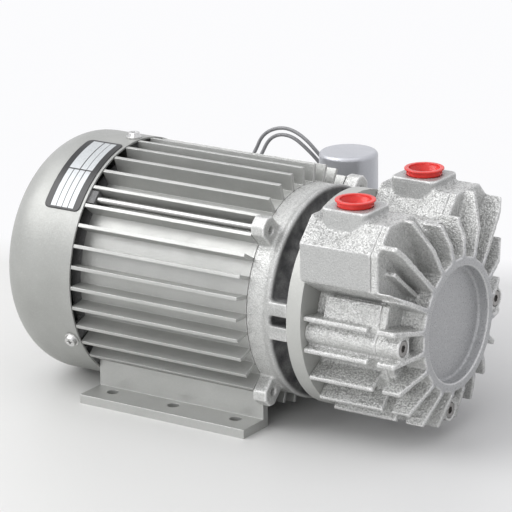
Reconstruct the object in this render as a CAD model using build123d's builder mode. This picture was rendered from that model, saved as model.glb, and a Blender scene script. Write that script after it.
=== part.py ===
from build123d import *
import math
import os

# Oil-free rotary vane vacuum pump on a foot mounted, fan cooled motor. Millimetres, +Z up.
# +X runs along the shaft from the motor to the pump head, -Y is the side shown in front.
# The origin is the centre of the foot bolt rectangle, on the plane that the feet stand on.

# Shaft line and stations along it
shaft_height = 71.0
floor_clearance = 0.1
frame_length = 113.0
shield_depth = 26.9
side_plate_thickness = 9.1
cylinder_length = 45.0
cover_depth = 19.5
frame_end = frame_length / 2
shield_face = frame_end + shield_depth
plate_face = shield_face + side_plate_thickness
parting_face = plate_face + cylinder_length
cover_face = parting_face + cover_depth

# Clearances
seat_clearance = 0.05
hole_clearance = 0.3
running_clearance = 0.1

# Motor frame
cover_overhang = 0.5
cover_radius = shaft_height - floor_clearance
fin_tip_radius = cover_radius - cover_overhang
rod_inset = 4.15
rod_circle = fin_tip_radius - rod_inset
rod_radius = 2.25
tube_setback = 5.95
tube_radius = rod_circle - tube_setback
tube_wall = 7.3
tube_bore = tube_radius - tube_wall
fin_thickness = 2.0
fin_pitch = 10
low_fin_setback = 3.9
low_fin_tip_radius = fin_tip_radius - low_fin_setback
pad_lift = 5.7
pad_face = tube_radius + pad_lift
pad_half_height = 22.0
pad_hole_radius = 8.0
web_thickness = 4.7
web_outer = rod_circle * math.cos(math.radians(45)) - rod_radius - running_clearance
foot_outer = 64.5
foot_thickness = 5.3
foot_hole_radius = 3.5
foot_hole_spacing_x = 42.5
foot_hole_y = 51.5

# Tie rods
rod_setback = 2.5
rod_head_flat = 3.3
rod_head_height = 3.2
rod_angles = (45, 135, 225, 315)

# End shields
spigot_depth = 4.0
spigot_wall = 5.5
front_ear_depth = 8.7
front_ear_half = 6.6
front_ear_reach = 8.1
front_ear_corner = 3.6
rear_ear_depth = 5.5
rear_ear_width = 8.0
rear_ear_lap = 4.5
neck_drop = 12.8
neck_radius = tube_radius - neck_drop
ridge_height = 0.8
ridge_radius = tube_radius + ridge_height
ridge_start = frame_end + 12.0
ridge_top = frame_end + 14.1
ridge_end = frame_end + 16.0
slope_middle = frame_end + 17.4
neck_start = frame_end + 22.0
web_back = frame_end + 11.5
bearing_boss_wall = 5.0
bearing_boss_flare = 8.0
journal_gap = 2.0
post_radius = tube_radius + 0.5
post_lap = 3.0
rear_rim_end = -frame_end - 6.5
rear_back = -frame_end - 10.0
rear_back_bevel = 3.3
rear_boss_wall = 6.5
rear_floor = -frame_end - 4.5
rear_floor_step = 2.5
rear_cap = 3.0
post_width = 8.1
post_offset = 6.9
post_depth = 11.5
post_angles = (0, 180)
ear_root = 4.0

# Fan cover
cover_rim_gap = 0.3
cover_length = 55.7
cover_wall = 1.2
dome_fillet = 25.0
cover_screw_inset = 5.2
cover_screw_angles = (88, 208, 328)
cover_screw_radius = 1.9
cover_screw_length = 9.0
cover_screw_head = 3.8
cover_screw_head_height = 2.4
cover_washer_radius = 4.5
cover_washer_thickness = 0.9
cross_slot_length = 3.6
cross_slot_width = 0.9
cross_slot_depth = 1.4
grille_hub_radius = 3.2
grille_slot = 3.5
grille_rings = ((15.0, 15.0, 12), (34.5, 16.0, 24))
cover_rim = -frame_end - cover_rim_gap
cover_back = cover_rim - cover_length
cover_screw_x = cover_rim - cover_screw_inset

# Bearings: bore radius, outer radius, width, ball radius, ball pitch radius, balls
front_bearing = (10.0, 23.5, 14.0, 3.97, 16.75, 8)
rear_bearing = (7.5, 17.5, 11.0, 2.98, 12.5, 8)
ball_clearance = 0.04
front_bearing_back = frame_end + 4.5
rear_bearing_front = -frame_end + 1.0
wave_washer_height = 1.5
wave_washer_band = 2.7

# Motor inside
core_half = 30.0
core_back = 7.0
slot_depth = 11.0
tooth_tip = 2.0
air_gap = 0.5
slot_outer = tube_bore - core_back
slot_inner = slot_outer - slot_depth
stator_bore = slot_inner - tooth_tip
rotor_core_radius = stator_bore - air_gap
core_shaft_radius = 12.0
end_ring_length = 7.0
end_ring_band = 9.0
end_ring_vanes = 6
slot_count = 24
slot_width = 4.4
end_turn_length = 15.0
fan_gap = 12.9
fan_radius = cover_radius - fan_gap
fan_blades = 8
fan_blade_depth = 17.0
fan_disc_thickness = 2.5
fan_disc_front = -frame_end - 17.0
fan_shaft_radius = 6.0
fan_hub_wall = 5.0
fan_blade_half = 1.1
fan_tip_lead = 10.0
fan_tip_taper = 22.0

# Pump chamber
eccentricity = 5.0
bore_height = shaft_height - eccentricity
bore_radius = 40.0
rotor_radius = bore_radius - eccentricity - running_clearance
rotor_bore = 8.0
side_plate_radius = 61.3
plate_screw_circle = 30.0
plate_screw_radius = 2.5
plate_screw_head = 5.0
plate_screw_length = 18.0
vane_thickness = 4.0
vane_length = 22.0
vane_clearance = 0.1
vane_angles = (45, 135, 225, 315)
key_width = 5.0
key_length = 25.0
key_start = plate_face + 6.0
end_screw_radius = 3.0
end_screw_length = 16.0
end_washer_radius = 9.5
end_washer_thickness = 1.6
seal_width = 6.0
seal_radius = 16.0

# Pump cylinder casting, about the bore centre
wall_radius = 45.5
flange_radius = 48.0
joint_flange = 4.5
pump_fin_tip = 59.3
pump_fin_thickness = 3.0
pump_fin_pitch = 18
pump_fins = 360 // pump_fin_pitch
fin_root = 2.0
screw_circle = 51.0
boss_radius = 6.2
screw_radius = 2.5
screw_head_radius = 4.25
screw_head_height = 5.0
counterbore_radius = 4.7
boss_depths = {0: 14.5, 90: 7.0, 180: 14.5, 270: 14.5}
screw_head_inset = 0.4
screw_socket = 2.0
screw_socket_depth = 2.5

# Shoulder blocks beside the ports
block_face = 61.6
block_low = bore_height + 32.0
block_edge = bore_height + 53.2
shoulder_low = (50.0, bore_height + 59.0)
shoulder_high = (49.0, bore_height + 66.3)
shoulder_inner = 23.0
valley_half = 12.0
valley_height = bore_height + 54.3
underside_slope = 0.6
saddle_start = plate_face + 11.5
saddle_end = plate_face + 25.5
saddle_rise = 9.5
filler_radius = 54.0
filler_angles = ((10, 24),)
boss_wall_angles = ((-9, 10), (170, 189), (261, 279))
filler_setback = 9.5

# Ports
port_x = plate_face + 20.5
port_y = 36.7
port_boss_length = 29.0
port_boss_inner = 23.0
port_boss_outer = 50.0
port_boss_top = bore_height + 71.05
port_corner = 4.0
port_counterbore_radius = 9.75
port_counterbore_depth = 4.0
port_thread_radius = 7.6
port_thread_length = 14.0
passage_radius = 4.5
passage_inset = 2.7
passage_floor = bore_height + 18.0
plug_rim_radius = 11.3
plug_body_radius = 10.3
plug_rim_height = 1.6
plug_height = 3.75
plug_wall = 1.0
plug_seat_gap = 0.2

# Front cover
cover_flange = 4.5
cover_fin_start = 1.8
cover_hub_radius = 38.0
cover_pocket_radius = 45.0
cover_face_radius = 40.0
cover_cone_slope = 0.365
cover_face_slope = 0.1
cover_split_height = bore_height + 14.0
bevel_slope = 0.48
bevel_start = 1.0
bevel_height = bore_height + 48.0
bevel_half_width = 47.0
recess_radius = 32.9
recess_depth = 6.9
inner_rib_angle = 38
inner_rib_radius = 66.0
inner_rib_depth = 10.5
fin_reach = 90.0

# Terminal box on the far side
box_start = -52.0
box_end = 0.0
box_bottom = shaft_height - 13.0
box_top = shaft_height + 31.0
box_gasket = 1.5
box_depth = 33.0
box_wall = 2.5
lid_thickness = 3.5
box_screw_radius = 2.0
box_screw_inset = 6.0
box_corner = 4.0
box_screw_depth = 12.0
box_screw_head = 3.5
box_screw_head_height = 2.2
board_length = 32.0
board_height = 22.0
board_thickness = 3.0
board_foot = 6.0
stud_pitch = 11.0
stud_radius = 1.9
stud_nut_flat = 3.2
stud_length = 8.0
gland_z = shaft_height + 7.0
gland_y = pad_face + 22.0
gland_bore = 4.0
gland_thread_radius = 8.0
gland_hex = 10.0
gland_length = 20.0
gland_nut = 5.0

# Run capacitor, standing beside the terminal box
capacitor_x = 29.9
capacitor_y = pad_face + 24.5
capacitor_radius = 17.5
capacitor_length = 60.0
capacitor_bottom = shaft_height - 5.0
capacitor_top = capacitor_bottom + capacitor_length
capacitor_edge = 2.5
cap_base_height = 14.0
cap_base_wall = 1.5
lug_x = 16.5
lug_y = pad_face + 41.0
lug_size = 14.0
clamp_thickness = 1.2
clamp_low = capacitor_bottom + 10.0
clamp_high = clamp_low + 14.0
clamp_tab = 7.5
clamp_screw_radius = 3.5
clamp_screw_height = 2.4
clamp_hole_radius = 2.2

# Capacitor leads, their routes as (x, distance from the pad, height above the shaft)
lead_radius = 1.1
grommet_radius = 3.0
grommet_height = 3.0
lead_top = box_top + grommet_height - shaft_height
lug_rise = 4.0
lug_top = capacitor_bottom + lug_rise - shaft_height
outer_lead_route = [
    (-41.0, 27.5, lead_top),
    (-41.0, 27.5, 39.6),
    (-38.3, 29.5, 46.0),
    (-34.8, 29.5, 53.4),
    (-28.5, 29.2, 58.6),
    (-19.9, 29.5, 61.4),
    (-11.4, 29.5, 60.5),
    (-2.9, 29.5, 56.3),
    (4.6, 30.0, 49.3),
    (10.4, 32.6, 41.6),
    (14.6, 36.6, 33.2),
    (17.4, 40.2, 24.2),
    (18.8, 42.0, 15.0),
    (19.2, 42.5, 6.6),
    (19.2, 42.5, lug_top),
]
inner_lead_route = [
    (-35.6, 27.5, lead_top),
    (-35.6, 27.5, 39.4),
    (-33.3, 29.5, 45.5),
    (-30.6, 29.6, 50.7),
    (-26.1, 29.3, 55.0),
    (-19.9, 29.5, 57.2),
    (-12.1, 29.6, 56.4),
    (-4.6, 29.5, 52.1),
    (3.0, 31.4, 44.8),
    (8.0, 34.4, 37.0),
    (11.0, 37.8, 28.6),
    (12.6, 40.0, 20.0),
    (13.0, 41.0, 12.0),
    (13.0, 41.2, 5.4),
    (13.0, 41.2, lug_top),
]

os.makedirs("parts", exist_ok=True)
shaft_axis = Axis((0, 0, shaft_height), (1, 0, 0))
bore_axis = Axis((0, 0, bore_height), (1, 0, 0))


def across(x, height=shaft_height):
    """Plane square to the shaft at station x, drawn as (y, height above the axis)."""
    return Plane(origin=(x, 0, height), x_dir=(0, 1, 0), z_dir=(1, 0, 0))


def along(height=shaft_height):
    """Plane through the axis at this height, drawn as (x, radius)."""
    return Plane(origin=(0, 0, height), x_dir=(1, 0, 0), z_dir=(0, -1, 0))


def radial(x, radius, angle):
    """Plane facing outward from the shaft axis, at an angle counted from +Y towards +Z."""
    outward = (0, math.cos(math.radians(angle)), math.sin(math.radians(angle)))
    origin = (x, radius * outward[1], shaft_height + radius * outward[2])
    return Plane(origin=origin, x_dir=(1, 0, 0), z_dir=outward)


def turned(height, *corners):
    """Closed outline of a turned piece from its (x, radius) corners."""
    with BuildSketch(along(height)) as outline:
        with BuildLine():
            Polyline(*corners, close=True)
        make_face()
    return outline.sketch


def save(piece, name):
    """Label a finished piece and write it."""
    piece.part.label = name
    export_step(piece.part, f"parts/{name}.step")


# Motor frame: one extrusion with radial fins, webs, feet and the far side pad
pad_angle = math.degrees(math.asin(pad_half_height / tube_radius))
web_angle = math.degrees(math.asin(web_outer / fin_tip_radius))
with BuildPart() as motor_frame:
    with BuildSketch(across(-frame_end)):
        Circle(tube_radius)
        for angle in range(0, 360, fin_pitch):
            below = angle - 360 if angle > 180 else angle
            from_down = abs(angle - 270)
            if abs(below) <= pad_angle:
                continue
            tip = fin_tip_radius
            if from_down < web_angle - fin_pitch / 2:
                tip = low_fin_tip_radius
            elif from_down < web_angle + fin_pitch / 2:
                continue
            with PolarLocations((tip + tube_bore) / 2, 1, start_angle=angle):
                Rectangle(tip - tube_bore, fin_thickness)
        with Locations((pad_face / 2, 0)):
            Rectangle(pad_face, 2 * pad_half_height)
        for side in (-1, 1):
            with Locations((side * (web_outer - web_thickness / 2), -shaft_height)):
                Rectangle(web_thickness, shaft_height / 2, align=(Align.CENTER, Align.MIN))
            with Locations((side * (web_outer - web_thickness), -shaft_height)):
                Rectangle(
                    foot_outer - web_outer + web_thickness,
                    foot_thickness,
                    align=(Align.MIN if side > 0 else Align.MAX, Align.MIN),
                )
        Circle(tube_bore, mode=Mode.SUBTRACT)
    extrude(amount=frame_length)
    with BuildSketch(Plane.XY):
        with GridLocations(foot_hole_spacing_x, 2 * foot_hole_y, 3, 2):
            Circle(foot_hole_radius)
    extrude(amount=foot_thickness, mode=Mode.SUBTRACT)
    with BuildSketch(Plane.XZ.offset(-pad_face)):
        with Locations(((box_start + box_end) / 2, (box_bottom + box_top) / 2)):
            Circle(pad_hole_radius)
    extrude(amount=pad_face - tube_bore + 5, mode=Mode.SUBTRACT)
save(motor_frame, "motor_frame")

# Front end shield: spigot, rounded ridge, hollowed neck, rod ears and pairs of posts
spigot_radius = tube_bore - seat_clearance
front_bearing_seat = front_bearing_back + front_bearing[2]
with BuildPart() as front_end_shield:
    with BuildSketch(along()):
        with BuildLine():
            Polyline(
                (front_bearing_back, front_bearing[1] + bearing_boss_wall),
                (front_bearing_back + spigot_wall, front_bearing[1] + bearing_boss_flare),
                (web_back, front_bearing[1] + bearing_boss_flare + spigot_depth),
                (web_back, neck_radius - spigot_depth),
                (frame_end + spigot_depth, spigot_radius - spigot_wall),
                (frame_end - spigot_depth, spigot_radius - spigot_wall),
                (frame_end - spigot_depth, spigot_radius),
                (frame_end, spigot_radius),
                (frame_end, tube_radius),
                (ridge_start, tube_radius),
            )
            ThreePointArc(
                (ridge_start, tube_radius),
                (ridge_top, ridge_radius),
                (ridge_end, tube_radius - ridge_height / 2),
            )
            ThreePointArc(
                (ridge_end, tube_radius - ridge_height / 2),
                (slope_middle, neck_radius + (tube_radius - neck_radius) / 3),
                (neck_start, neck_radius),
            )
            Polyline(
                (neck_start, neck_radius),
                (shield_face, neck_radius),
                (shield_face, seal_radius),
                (shield_face - seal_width, seal_radius),
                (shield_face - seal_width, front_bearing[0] + journal_gap),
                (front_bearing_seat, front_bearing[0] + journal_gap),
                (front_bearing_seat, front_bearing[1]),
                (front_bearing_back, front_bearing[1]),
                (front_bearing_back, front_bearing[1] + bearing_boss_wall),
            )
        make_face()
    revolve(axis=shaft_axis)
    with BuildSketch(across(frame_end)):
        for angle in rod_angles:
            with Locations(Rot(0, 0, angle)):
                Polygon(
                    (tube_radius - ear_root, -front_ear_half),
                    (rod_circle + front_ear_reach - front_ear_corner, -front_ear_half),
                    (rod_circle + front_ear_reach, -front_ear_half + front_ear_corner),
                    (rod_circle + front_ear_reach, front_ear_half - front_ear_corner),
                    (rod_circle + front_ear_reach - front_ear_corner, front_ear_half),
                    (tube_radius - ear_root, front_ear_half),
                    align=None,
                )
    extrude(amount=front_ear_depth)
    with BuildSketch(across(shield_face)):
        for angle in post_angles:
            for side in (-1, 1):
                with Locations(Rot(0, 0, angle)):
                    with Locations(((neck_radius - post_lap + post_radius) / 2, side * post_offset)):
                        Rectangle(post_radius - neck_radius + post_lap, post_width)
    extrude(amount=-post_depth)
    with BuildSketch(across(frame_end)):
        for angle in rod_angles:
            with PolarLocations(rod_circle, 1, start_angle=angle):
                Circle(rod_radius + running_clearance)
    extrude(amount=front_ear_depth, mode=Mode.SUBTRACT)
    with BuildSketch(across(shield_face)):
        for angle in rod_angles:
            with PolarLocations(plate_screw_circle, 1, start_angle=angle):
                Circle(plate_screw_radius + running_clearance)
    extrude(amount=-(plate_screw_length - side_plate_thickness + 1), mode=Mode.SUBTRACT)
save(front_end_shield, "front_end_shield")

# Rear end shield: bearing boss, rod ears that reach in between the fins, fan cover bosses
rear_seat_end = rear_bearing_front - rear_bearing[2] - wave_washer_height
with BuildPart() as rear_end_shield:
    with BuildSketch(along()):
        with BuildLine():
            Polyline(
                (-frame_end + spigot_depth, spigot_radius - spigot_wall),
                (-frame_end + spigot_depth, spigot_radius),
                (-frame_end, spigot_radius),
                (-frame_end, tube_radius),
                (rear_rim_end, tube_radius),
                (rear_back, tube_radius - rear_back_bevel),
                (rear_back, rear_bearing[1] + rear_boss_wall),
                (rear_seat_end - rear_cap, rear_bearing[1] + bearing_boss_wall),
                (rear_seat_end - rear_cap, rear_bearing[0] + journal_gap),
                (rear_seat_end, rear_bearing[0] + journal_gap),
                (rear_seat_end, rear_bearing[1]),
                (rear_bearing_front + wave_washer_height, rear_bearing[1]),
                (rear_bearing_front + wave_washer_height, rear_bearing[1] + bearing_boss_wall),
                (rear_floor, rear_bearing[1] + rear_boss_wall),
                (rear_floor, spigot_radius - spigot_wall - rear_floor_step),
                (-frame_end - 1, spigot_radius - spigot_wall),
                close=True,
            )
        make_face()
    revolve(axis=shaft_axis)
    ear_top = cover_radius - cover_wall - hole_clearance
    with BuildSketch(across(-frame_end)):
        for angle in rod_angles:
            with PolarLocations((ear_top + tube_radius - ear_root) / 2, 1, start_angle=angle):
                Rectangle(ear_top - tube_radius + ear_root, rear_ear_width)
    extrude(amount=-rear_ear_depth)
    with BuildSketch(across(-frame_end)):
        for angle in rod_angles[:2]:
            with PolarLocations((ear_top + tube_radius + hole_clearance) / 2, 1, start_angle=angle):
                Rectangle(ear_top - tube_radius - hole_clearance, rear_ear_width)
    extrude(amount=rear_ear_lap)
    for angle in cover_screw_angles:
        with BuildSketch(radial(cover_screw_x, tube_radius - ear_root, angle)):
            Circle(cover_washer_radius - hole_clearance)
        extrude(amount=ear_top - tube_radius + ear_root)
    with BuildSketch(across(-frame_end + rear_ear_lap)):
        for angle in rod_angles:
            with PolarLocations(rod_circle, 1, start_angle=angle):
                Circle(rod_radius + running_clearance)
    extrude(amount=-rear_ear_lap - rear_ear_depth, mode=Mode.SUBTRACT)
    for angle in cover_screw_angles:
        with BuildSketch(radial(cover_screw_x, ear_top, angle)):
            Circle(cover_screw_radius + running_clearance)
        extrude(amount=-cover_screw_length + 1, mode=Mode.SUBTRACT)
save(rear_end_shield, "rear_end_shield")

# Tie rods: hexagon heads behind the rear shield, threaded ends inside the front ears
with BuildPart() as tie_rods:
    with BuildSketch(across(-frame_end - rear_ear_depth)):
        for angle in rod_angles:
            with PolarLocations(rod_circle, 1, start_angle=angle):
                Circle(rod_radius)
    extrude(amount=rear_ear_depth + frame_length + front_ear_depth - rod_setback)
    with BuildSketch(across(-frame_end - rear_ear_depth)):
        for angle in rod_angles:
            with PolarLocations(rod_circle, 1, start_angle=angle):
                RegularPolygon(rod_head_flat, 6, major_radius=False, rotation=30)
    extrude(amount=-rod_head_height)
save(tie_rods, "tie_rods")

# Fan cover: deep drawn cup with a domed back edge and an air grille
with BuildPart() as fan_cover:
    with BuildSketch(across(cover_back)):
        Circle(cover_radius)
    extrude(amount=cover_length)
    fillet(fan_cover.edges().group_by(Axis.X)[0], radius=dome_fillet)
    offset(amount=-cover_wall, openings=fan_cover.faces().sort_by(Axis.X)[-1])
    with BuildSketch(across(cover_back)):
        Circle(grille_hub_radius)
        for ring_radius, slot_length, slots in grille_rings:
            with PolarLocations(ring_radius, slots):
                SlotOverall(slot_length, grille_slot)
    extrude(amount=2 * cover_wall, mode=Mode.SUBTRACT)
    for angle in cover_screw_angles:
        with BuildSketch(radial(cover_screw_x, cover_radius + 1, angle)):
            Circle(cover_screw_radius + hole_clearance)
        extrude(amount=-2 * cover_wall - 1, mode=Mode.SUBTRACT)
save(fan_cover, "fan_cover")

# Fan cover screws: pan heads with a cross recess, on plain washers
washer_top = cover_radius + cover_washer_thickness
with BuildPart() as fan_cover_screws:
    for angle in cover_screw_angles:
        with BuildSketch(radial(cover_screw_x, cover_radius, angle)):
            Circle(cover_washer_radius)
        extrude(amount=cover_washer_thickness)
        with BuildSketch(radial(cover_screw_x, washer_top, angle)):
            Circle(cover_screw_head)
        extrude(amount=cover_screw_head_height, taper=12)
        with BuildSketch(radial(cover_screw_x, washer_top + cover_screw_head_height, angle)):
            Rectangle(cross_slot_length, cross_slot_width)
            Rectangle(cross_slot_width, cross_slot_length)
        extrude(amount=-cross_slot_depth, mode=Mode.SUBTRACT)
        with BuildSketch(radial(cover_screw_x, washer_top, angle)):
            Circle(cover_screw_radius)
        extrude(amount=-cover_screw_length)
save(fan_cover_screws, "fan_cover_screws")


def bearing_rings(name, sizes, back):
    """Outer ring, inner ring, balls and cage of a deep groove ball bearing."""
    bore, outside, width, ball, pitch, count = sizes
    middle = back + width / 2
    groove = ball + ball_clearance
    land = 0.45 * ball
    with BuildPart() as outer_ring:
        revolve(
            turned(
                shaft_height,
                (back, pitch + ball - land),
                (back, outside - seat_clearance),
                (back + width, outside - seat_clearance),
                (back + width, pitch + ball - land),
            ),
            axis=shaft_axis,
        )
        with BuildSketch(along()):
            with Locations((middle, pitch)):
                Circle(groove)
        revolve(axis=shaft_axis, mode=Mode.SUBTRACT)
    save(outer_ring, f"{name}_bearing_outer_ring")
    with BuildPart() as inner_ring:
        revolve(
            turned(
                shaft_height,
                (back, bore + seat_clearance),
                (back, pitch - ball + land),
                (back + width, pitch - ball + land),
                (back + width, bore + seat_clearance),
            ),
            axis=shaft_axis,
        )
        with BuildSketch(along()):
            with Locations((middle, pitch)):
                Circle(groove)
        revolve(axis=shaft_axis, mode=Mode.SUBTRACT)
    save(inner_ring, f"{name}_bearing_inner_ring")
    with BuildPart() as balls:
        with Locations(across(middle)):
            with PolarLocations(pitch, count):
                Sphere(ball)
    save(balls, f"{name}_bearing_balls")
    half_band = 0.3 * ball
    with BuildPart() as cage:
        revolve(
            turned(
                shaft_height,
                (middle - 1.2 * ball, pitch - half_band),
                (middle - 1.2 * ball, pitch + half_band),
                (middle + 1.2 * ball, pitch + half_band),
                (middle + 1.2 * ball, pitch - half_band),
            ),
            axis=shaft_axis,
        )
        for step in range(count):
            with BuildSketch(radial(middle, pitch - ball, step * 360 / count)):
                Circle(ball + ball_clearance)
            extrude(amount=2 * ball, mode=Mode.SUBTRACT)
    save(cage, f"{name}_bearing_cage")


bearing_rings("front", front_bearing, front_bearing_back)
bearing_rings("rear", rear_bearing, rear_bearing_front - rear_bearing[2])

# Wave washer that preloads the rear bearing
with BuildPart() as wave_washer:
    revolve(
        turned(
            shaft_height,
            (rear_seat_end, rear_bearing[1] - hole_clearance - wave_washer_band),
            (rear_seat_end, rear_bearing[1] - hole_clearance),
            (rear_seat_end + wave_washer_height, rear_bearing[1] - hole_clearance),
            (rear_seat_end + wave_washer_height, rear_bearing[1] - hole_clearance - wave_washer_band),
        ),
        axis=shaft_axis,
    )
save(wave_washer, "wave_washer")

# Motor shaft: fan journal, rear bearing, core seat, front bearing, pump rotor journal
fan_back = fan_disc_front - fan_disc_thickness - fan_blade_depth
circlip_width = 1.2
circlip_groove = 0.8
circlip_band = 2.2
shaft_rear_end = fan_back - circlip_width - 2
rotor_counterbore = 9.0
rotor_start = plate_face + running_clearance
rotor_end = parting_face - running_clearance
shaft_front_end = rotor_end - rotor_counterbore
with BuildPart() as motor_shaft:
    revolve(
        turned(
            shaft_height,
            (shaft_rear_end, 0),
            (shaft_rear_end, fan_shaft_radius),
            (fan_back - circlip_width, fan_shaft_radius),
            (fan_back - circlip_width, fan_shaft_radius - circlip_groove),
            (fan_back, fan_shaft_radius - circlip_groove),
            (fan_back, fan_shaft_radius),
            (fan_disc_front, fan_shaft_radius),
            (fan_disc_front, rear_bearing[0]),
            (rear_bearing_front, rear_bearing[0]),
            (rear_bearing_front, rear_bearing[0] + 2),
            (-core_half, rear_bearing[0] + 2),
            (-core_half, core_shaft_radius),
            (front_bearing_back, core_shaft_radius),
            (front_bearing_back, front_bearing[0]),
            (rotor_start, front_bearing[0]),
            (rotor_start, rotor_bore),
            (shaft_front_end, rotor_bore),
            (shaft_front_end, 0),
        ),
        axis=shaft_axis,
    )
    with BuildSketch(across(key_start)):
        with Locations((rotor_bore, 0)):
            Rectangle(key_width, key_width)
    extrude(amount=key_length, mode=Mode.SUBTRACT)
    with BuildSketch(across(shaft_front_end)):
        Circle(end_screw_radius + seat_clearance)
    extrude(amount=-end_screw_length - 2, mode=Mode.SUBTRACT)
save(motor_shaft, "motor_shaft")

# Squirrel cage rotor core with cast end rings
with BuildPart() as rotor_core:
    with BuildSketch(across(-core_half)):
        Circle(rotor_core_radius)
        Circle(core_shaft_radius + seat_clearance, mode=Mode.SUBTRACT)
    extrude(amount=2 * core_half)
    for face, way in ((-core_half, -1), (core_half, 1)):
        with BuildSketch(across(face)):
            Circle(rotor_core_radius - 1)
            Circle(rotor_core_radius - 1 - end_ring_band, mode=Mode.SUBTRACT)
            with PolarLocations(rotor_core_radius - 12, end_ring_vanes):
                Rectangle(end_ring_length, 2)
        extrude(amount=way * end_ring_length)
save(rotor_core, "rotor_core")

# Stator core: slotted stack pressed into the frame
slot_middle = (slot_inner + slot_outer) / 2
with BuildPart() as stator_core:
    with BuildSketch(across(-core_half)):
        Circle(tube_bore - seat_clearance)
        Circle(stator_bore, mode=Mode.SUBTRACT)
        with PolarLocations(slot_middle, slot_count):
            SlotOverall(slot_outer - slot_inner, slot_width, mode=Mode.SUBTRACT)
        with PolarLocations(stator_bore + 1, slot_count):
            Rectangle(4, 1.8, mode=Mode.SUBTRACT)
    extrude(amount=2 * core_half)
save(stator_core, "stator_core")

# Windings: slot sides and the two rings of end turns
with BuildPart() as stator_windings:
    with BuildSketch(across(-core_half)):
        with PolarLocations(slot_middle, slot_count):
            SlotOverall(slot_outer - slot_inner - 2 * running_clearance, slot_width - 2 * running_clearance)
    extrude(amount=2 * core_half)
    for face, way in ((-core_half, -1), (core_half, 1)):
        with BuildSketch(along()):
            with Locations((face + way * end_turn_length / 2, slot_middle)):
                RectangleRounded(end_turn_length, slot_outer - slot_inner + 2, 4)
        revolve(axis=shaft_axis)
save(stator_windings, "stator_windings")

# Cooling fan: hub, disc and straight blades with swept tips
with BuildPart() as cooling_fan:
    with BuildSketch(across(fan_disc_front)):
        Circle(fan_radius - fan_tip_lead)
    extrude(amount=-fan_disc_thickness)
    with BuildSketch(across(fan_disc_front - fan_disc_thickness)):
        Circle(fan_shaft_radius + fan_hub_wall)
    extrude(amount=-fan_blade_depth)
    for blade in range(fan_blades):
        turn = blade * 360 / fan_blades
        across_blade = (0, -math.sin(math.radians(turn)), math.cos(math.radians(turn)))
        blade_plane = Plane(origin=(0, 0, shaft_height), x_dir=(1, 0, 0), z_dir=across_blade)
        reach = -1 if blade_plane.y_dir.dot(radial(0, 1, turn).z_dir) < 0 else 1
        with BuildSketch(blade_plane):
            with BuildLine():
                Polyline(
                    (fan_disc_front - 0.5, reach * (fan_shaft_radius + 3)),
                    (fan_disc_front - 0.5, reach * (fan_radius - 12)),
                    (fan_disc_front - 4, reach * fan_radius),
                    (fan_back + 3, reach * fan_radius),
                    (fan_back, reach * (fan_radius - fan_tip_taper)),
                    (fan_back, reach * (fan_shaft_radius + 3)),
                    close=True,
                )
            make_face()
        extrude(amount=fan_blade_half, both=True)
    with BuildSketch(across(fan_back)):
        Circle(fan_shaft_radius + seat_clearance)
    extrude(amount=fan_blade_depth + fan_disc_thickness, mode=Mode.SUBTRACT)
save(cooling_fan, "cooling_fan")

# Retaining ring behind the fan
with BuildPart() as fan_circlip:
    with BuildSketch(across(fan_back - circlip_width)):
        Circle(fan_shaft_radius + circlip_band)
        Circle(fan_shaft_radius - circlip_groove + seat_clearance, mode=Mode.SUBTRACT)
        with Locations((fan_shaft_radius + 1, 0)):
            Rectangle(5, 4, mode=Mode.SUBTRACT)
    extrude(amount=circlip_width)
save(fan_circlip, "fan_circlip")

# Lip seal between motor and pump
with BuildPart() as shaft_seal:
    revolve(
        turned(
            shaft_height,
            (shield_face - seal_width, seal_radius - seat_clearance),
            (shield_face, seal_radius - seat_clearance),
            (shield_face, front_bearing[0] + 3),
            (shield_face - 2, front_bearing[0] + seat_clearance),
            (shield_face - 3, front_bearing[0] + seat_clearance),
            (shield_face - 4.5, front_bearing[0] + 3.5),
            (shield_face - seal_width, front_bearing[0] + 3.5),
        ),
        axis=shaft_axis,
    )
save(shaft_seal, "shaft_seal")

# Rear side plate: closes the chamber on the motor side
with BuildPart() as rear_side_plate:
    with BuildSketch(across(shield_face)):
        Circle(side_plate_radius)
        Circle(front_bearing[0] + hole_clearance, mode=Mode.SUBTRACT)
    extrude(amount=side_plate_thickness)
    with BuildSketch(across(shield_face, bore_height)):
        with PolarLocations(screw_circle, 4):
            Circle(screw_radius + running_clearance)
    extrude(amount=side_plate_thickness, mode=Mode.SUBTRACT)
    with Locations(across(plate_face)):
        with PolarLocations(plate_screw_circle, 4, start_angle=rod_angles[0]):
            CounterSinkHole(
                plate_screw_radius + running_clearance,
                plate_screw_head + running_clearance,
                depth=side_plate_thickness,
                counter_sink_angle=90,
            )
save(rear_side_plate, "rear_side_plate")

# Countersunk screws that hold the side plate to the end shield
with BuildPart() as side_plate_screws:
    with Locations(across(plate_face - running_clearance / 2)):
        with PolarLocations(plate_screw_circle, 4, start_angle=rod_angles[0]):
            Cylinder(plate_screw_radius, plate_screw_length, align=(Align.CENTER, Align.CENTER, Align.MAX))
            Cone(
                plate_screw_radius,
                plate_screw_head,
                plate_screw_head - plate_screw_radius,
                align=(Align.CENTER, Align.CENTER, Align.MAX),
            )
            Cylinder(
                1.5,
                2.0,
                align=(Align.CENTER, Align.CENTER, Align.MAX),
                mode=Mode.SUBTRACT,
            )
save(side_plate_screws, "side_plate_screws")


def shoulder_outline(x, corner):
    """Section of the far side shoulder block at station x, its top beginning at this corner."""
    reach = block_face - wall_radius + 5
    points = [
        (block_face, block_low),
        (block_face, block_edge),
        corner,
        (shoulder_inner, corner[1]),
        (valley_half, valley_height),
        (0, valley_height),
        (0, block_low),
        (block_face - reach, block_low - underside_slope * reach),
    ]
    with BuildSketch(across(x, 0)) as outline:
        with BuildLine():
            Polyline(*points, close=True)
        make_face()
    return outline.sketch


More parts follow.
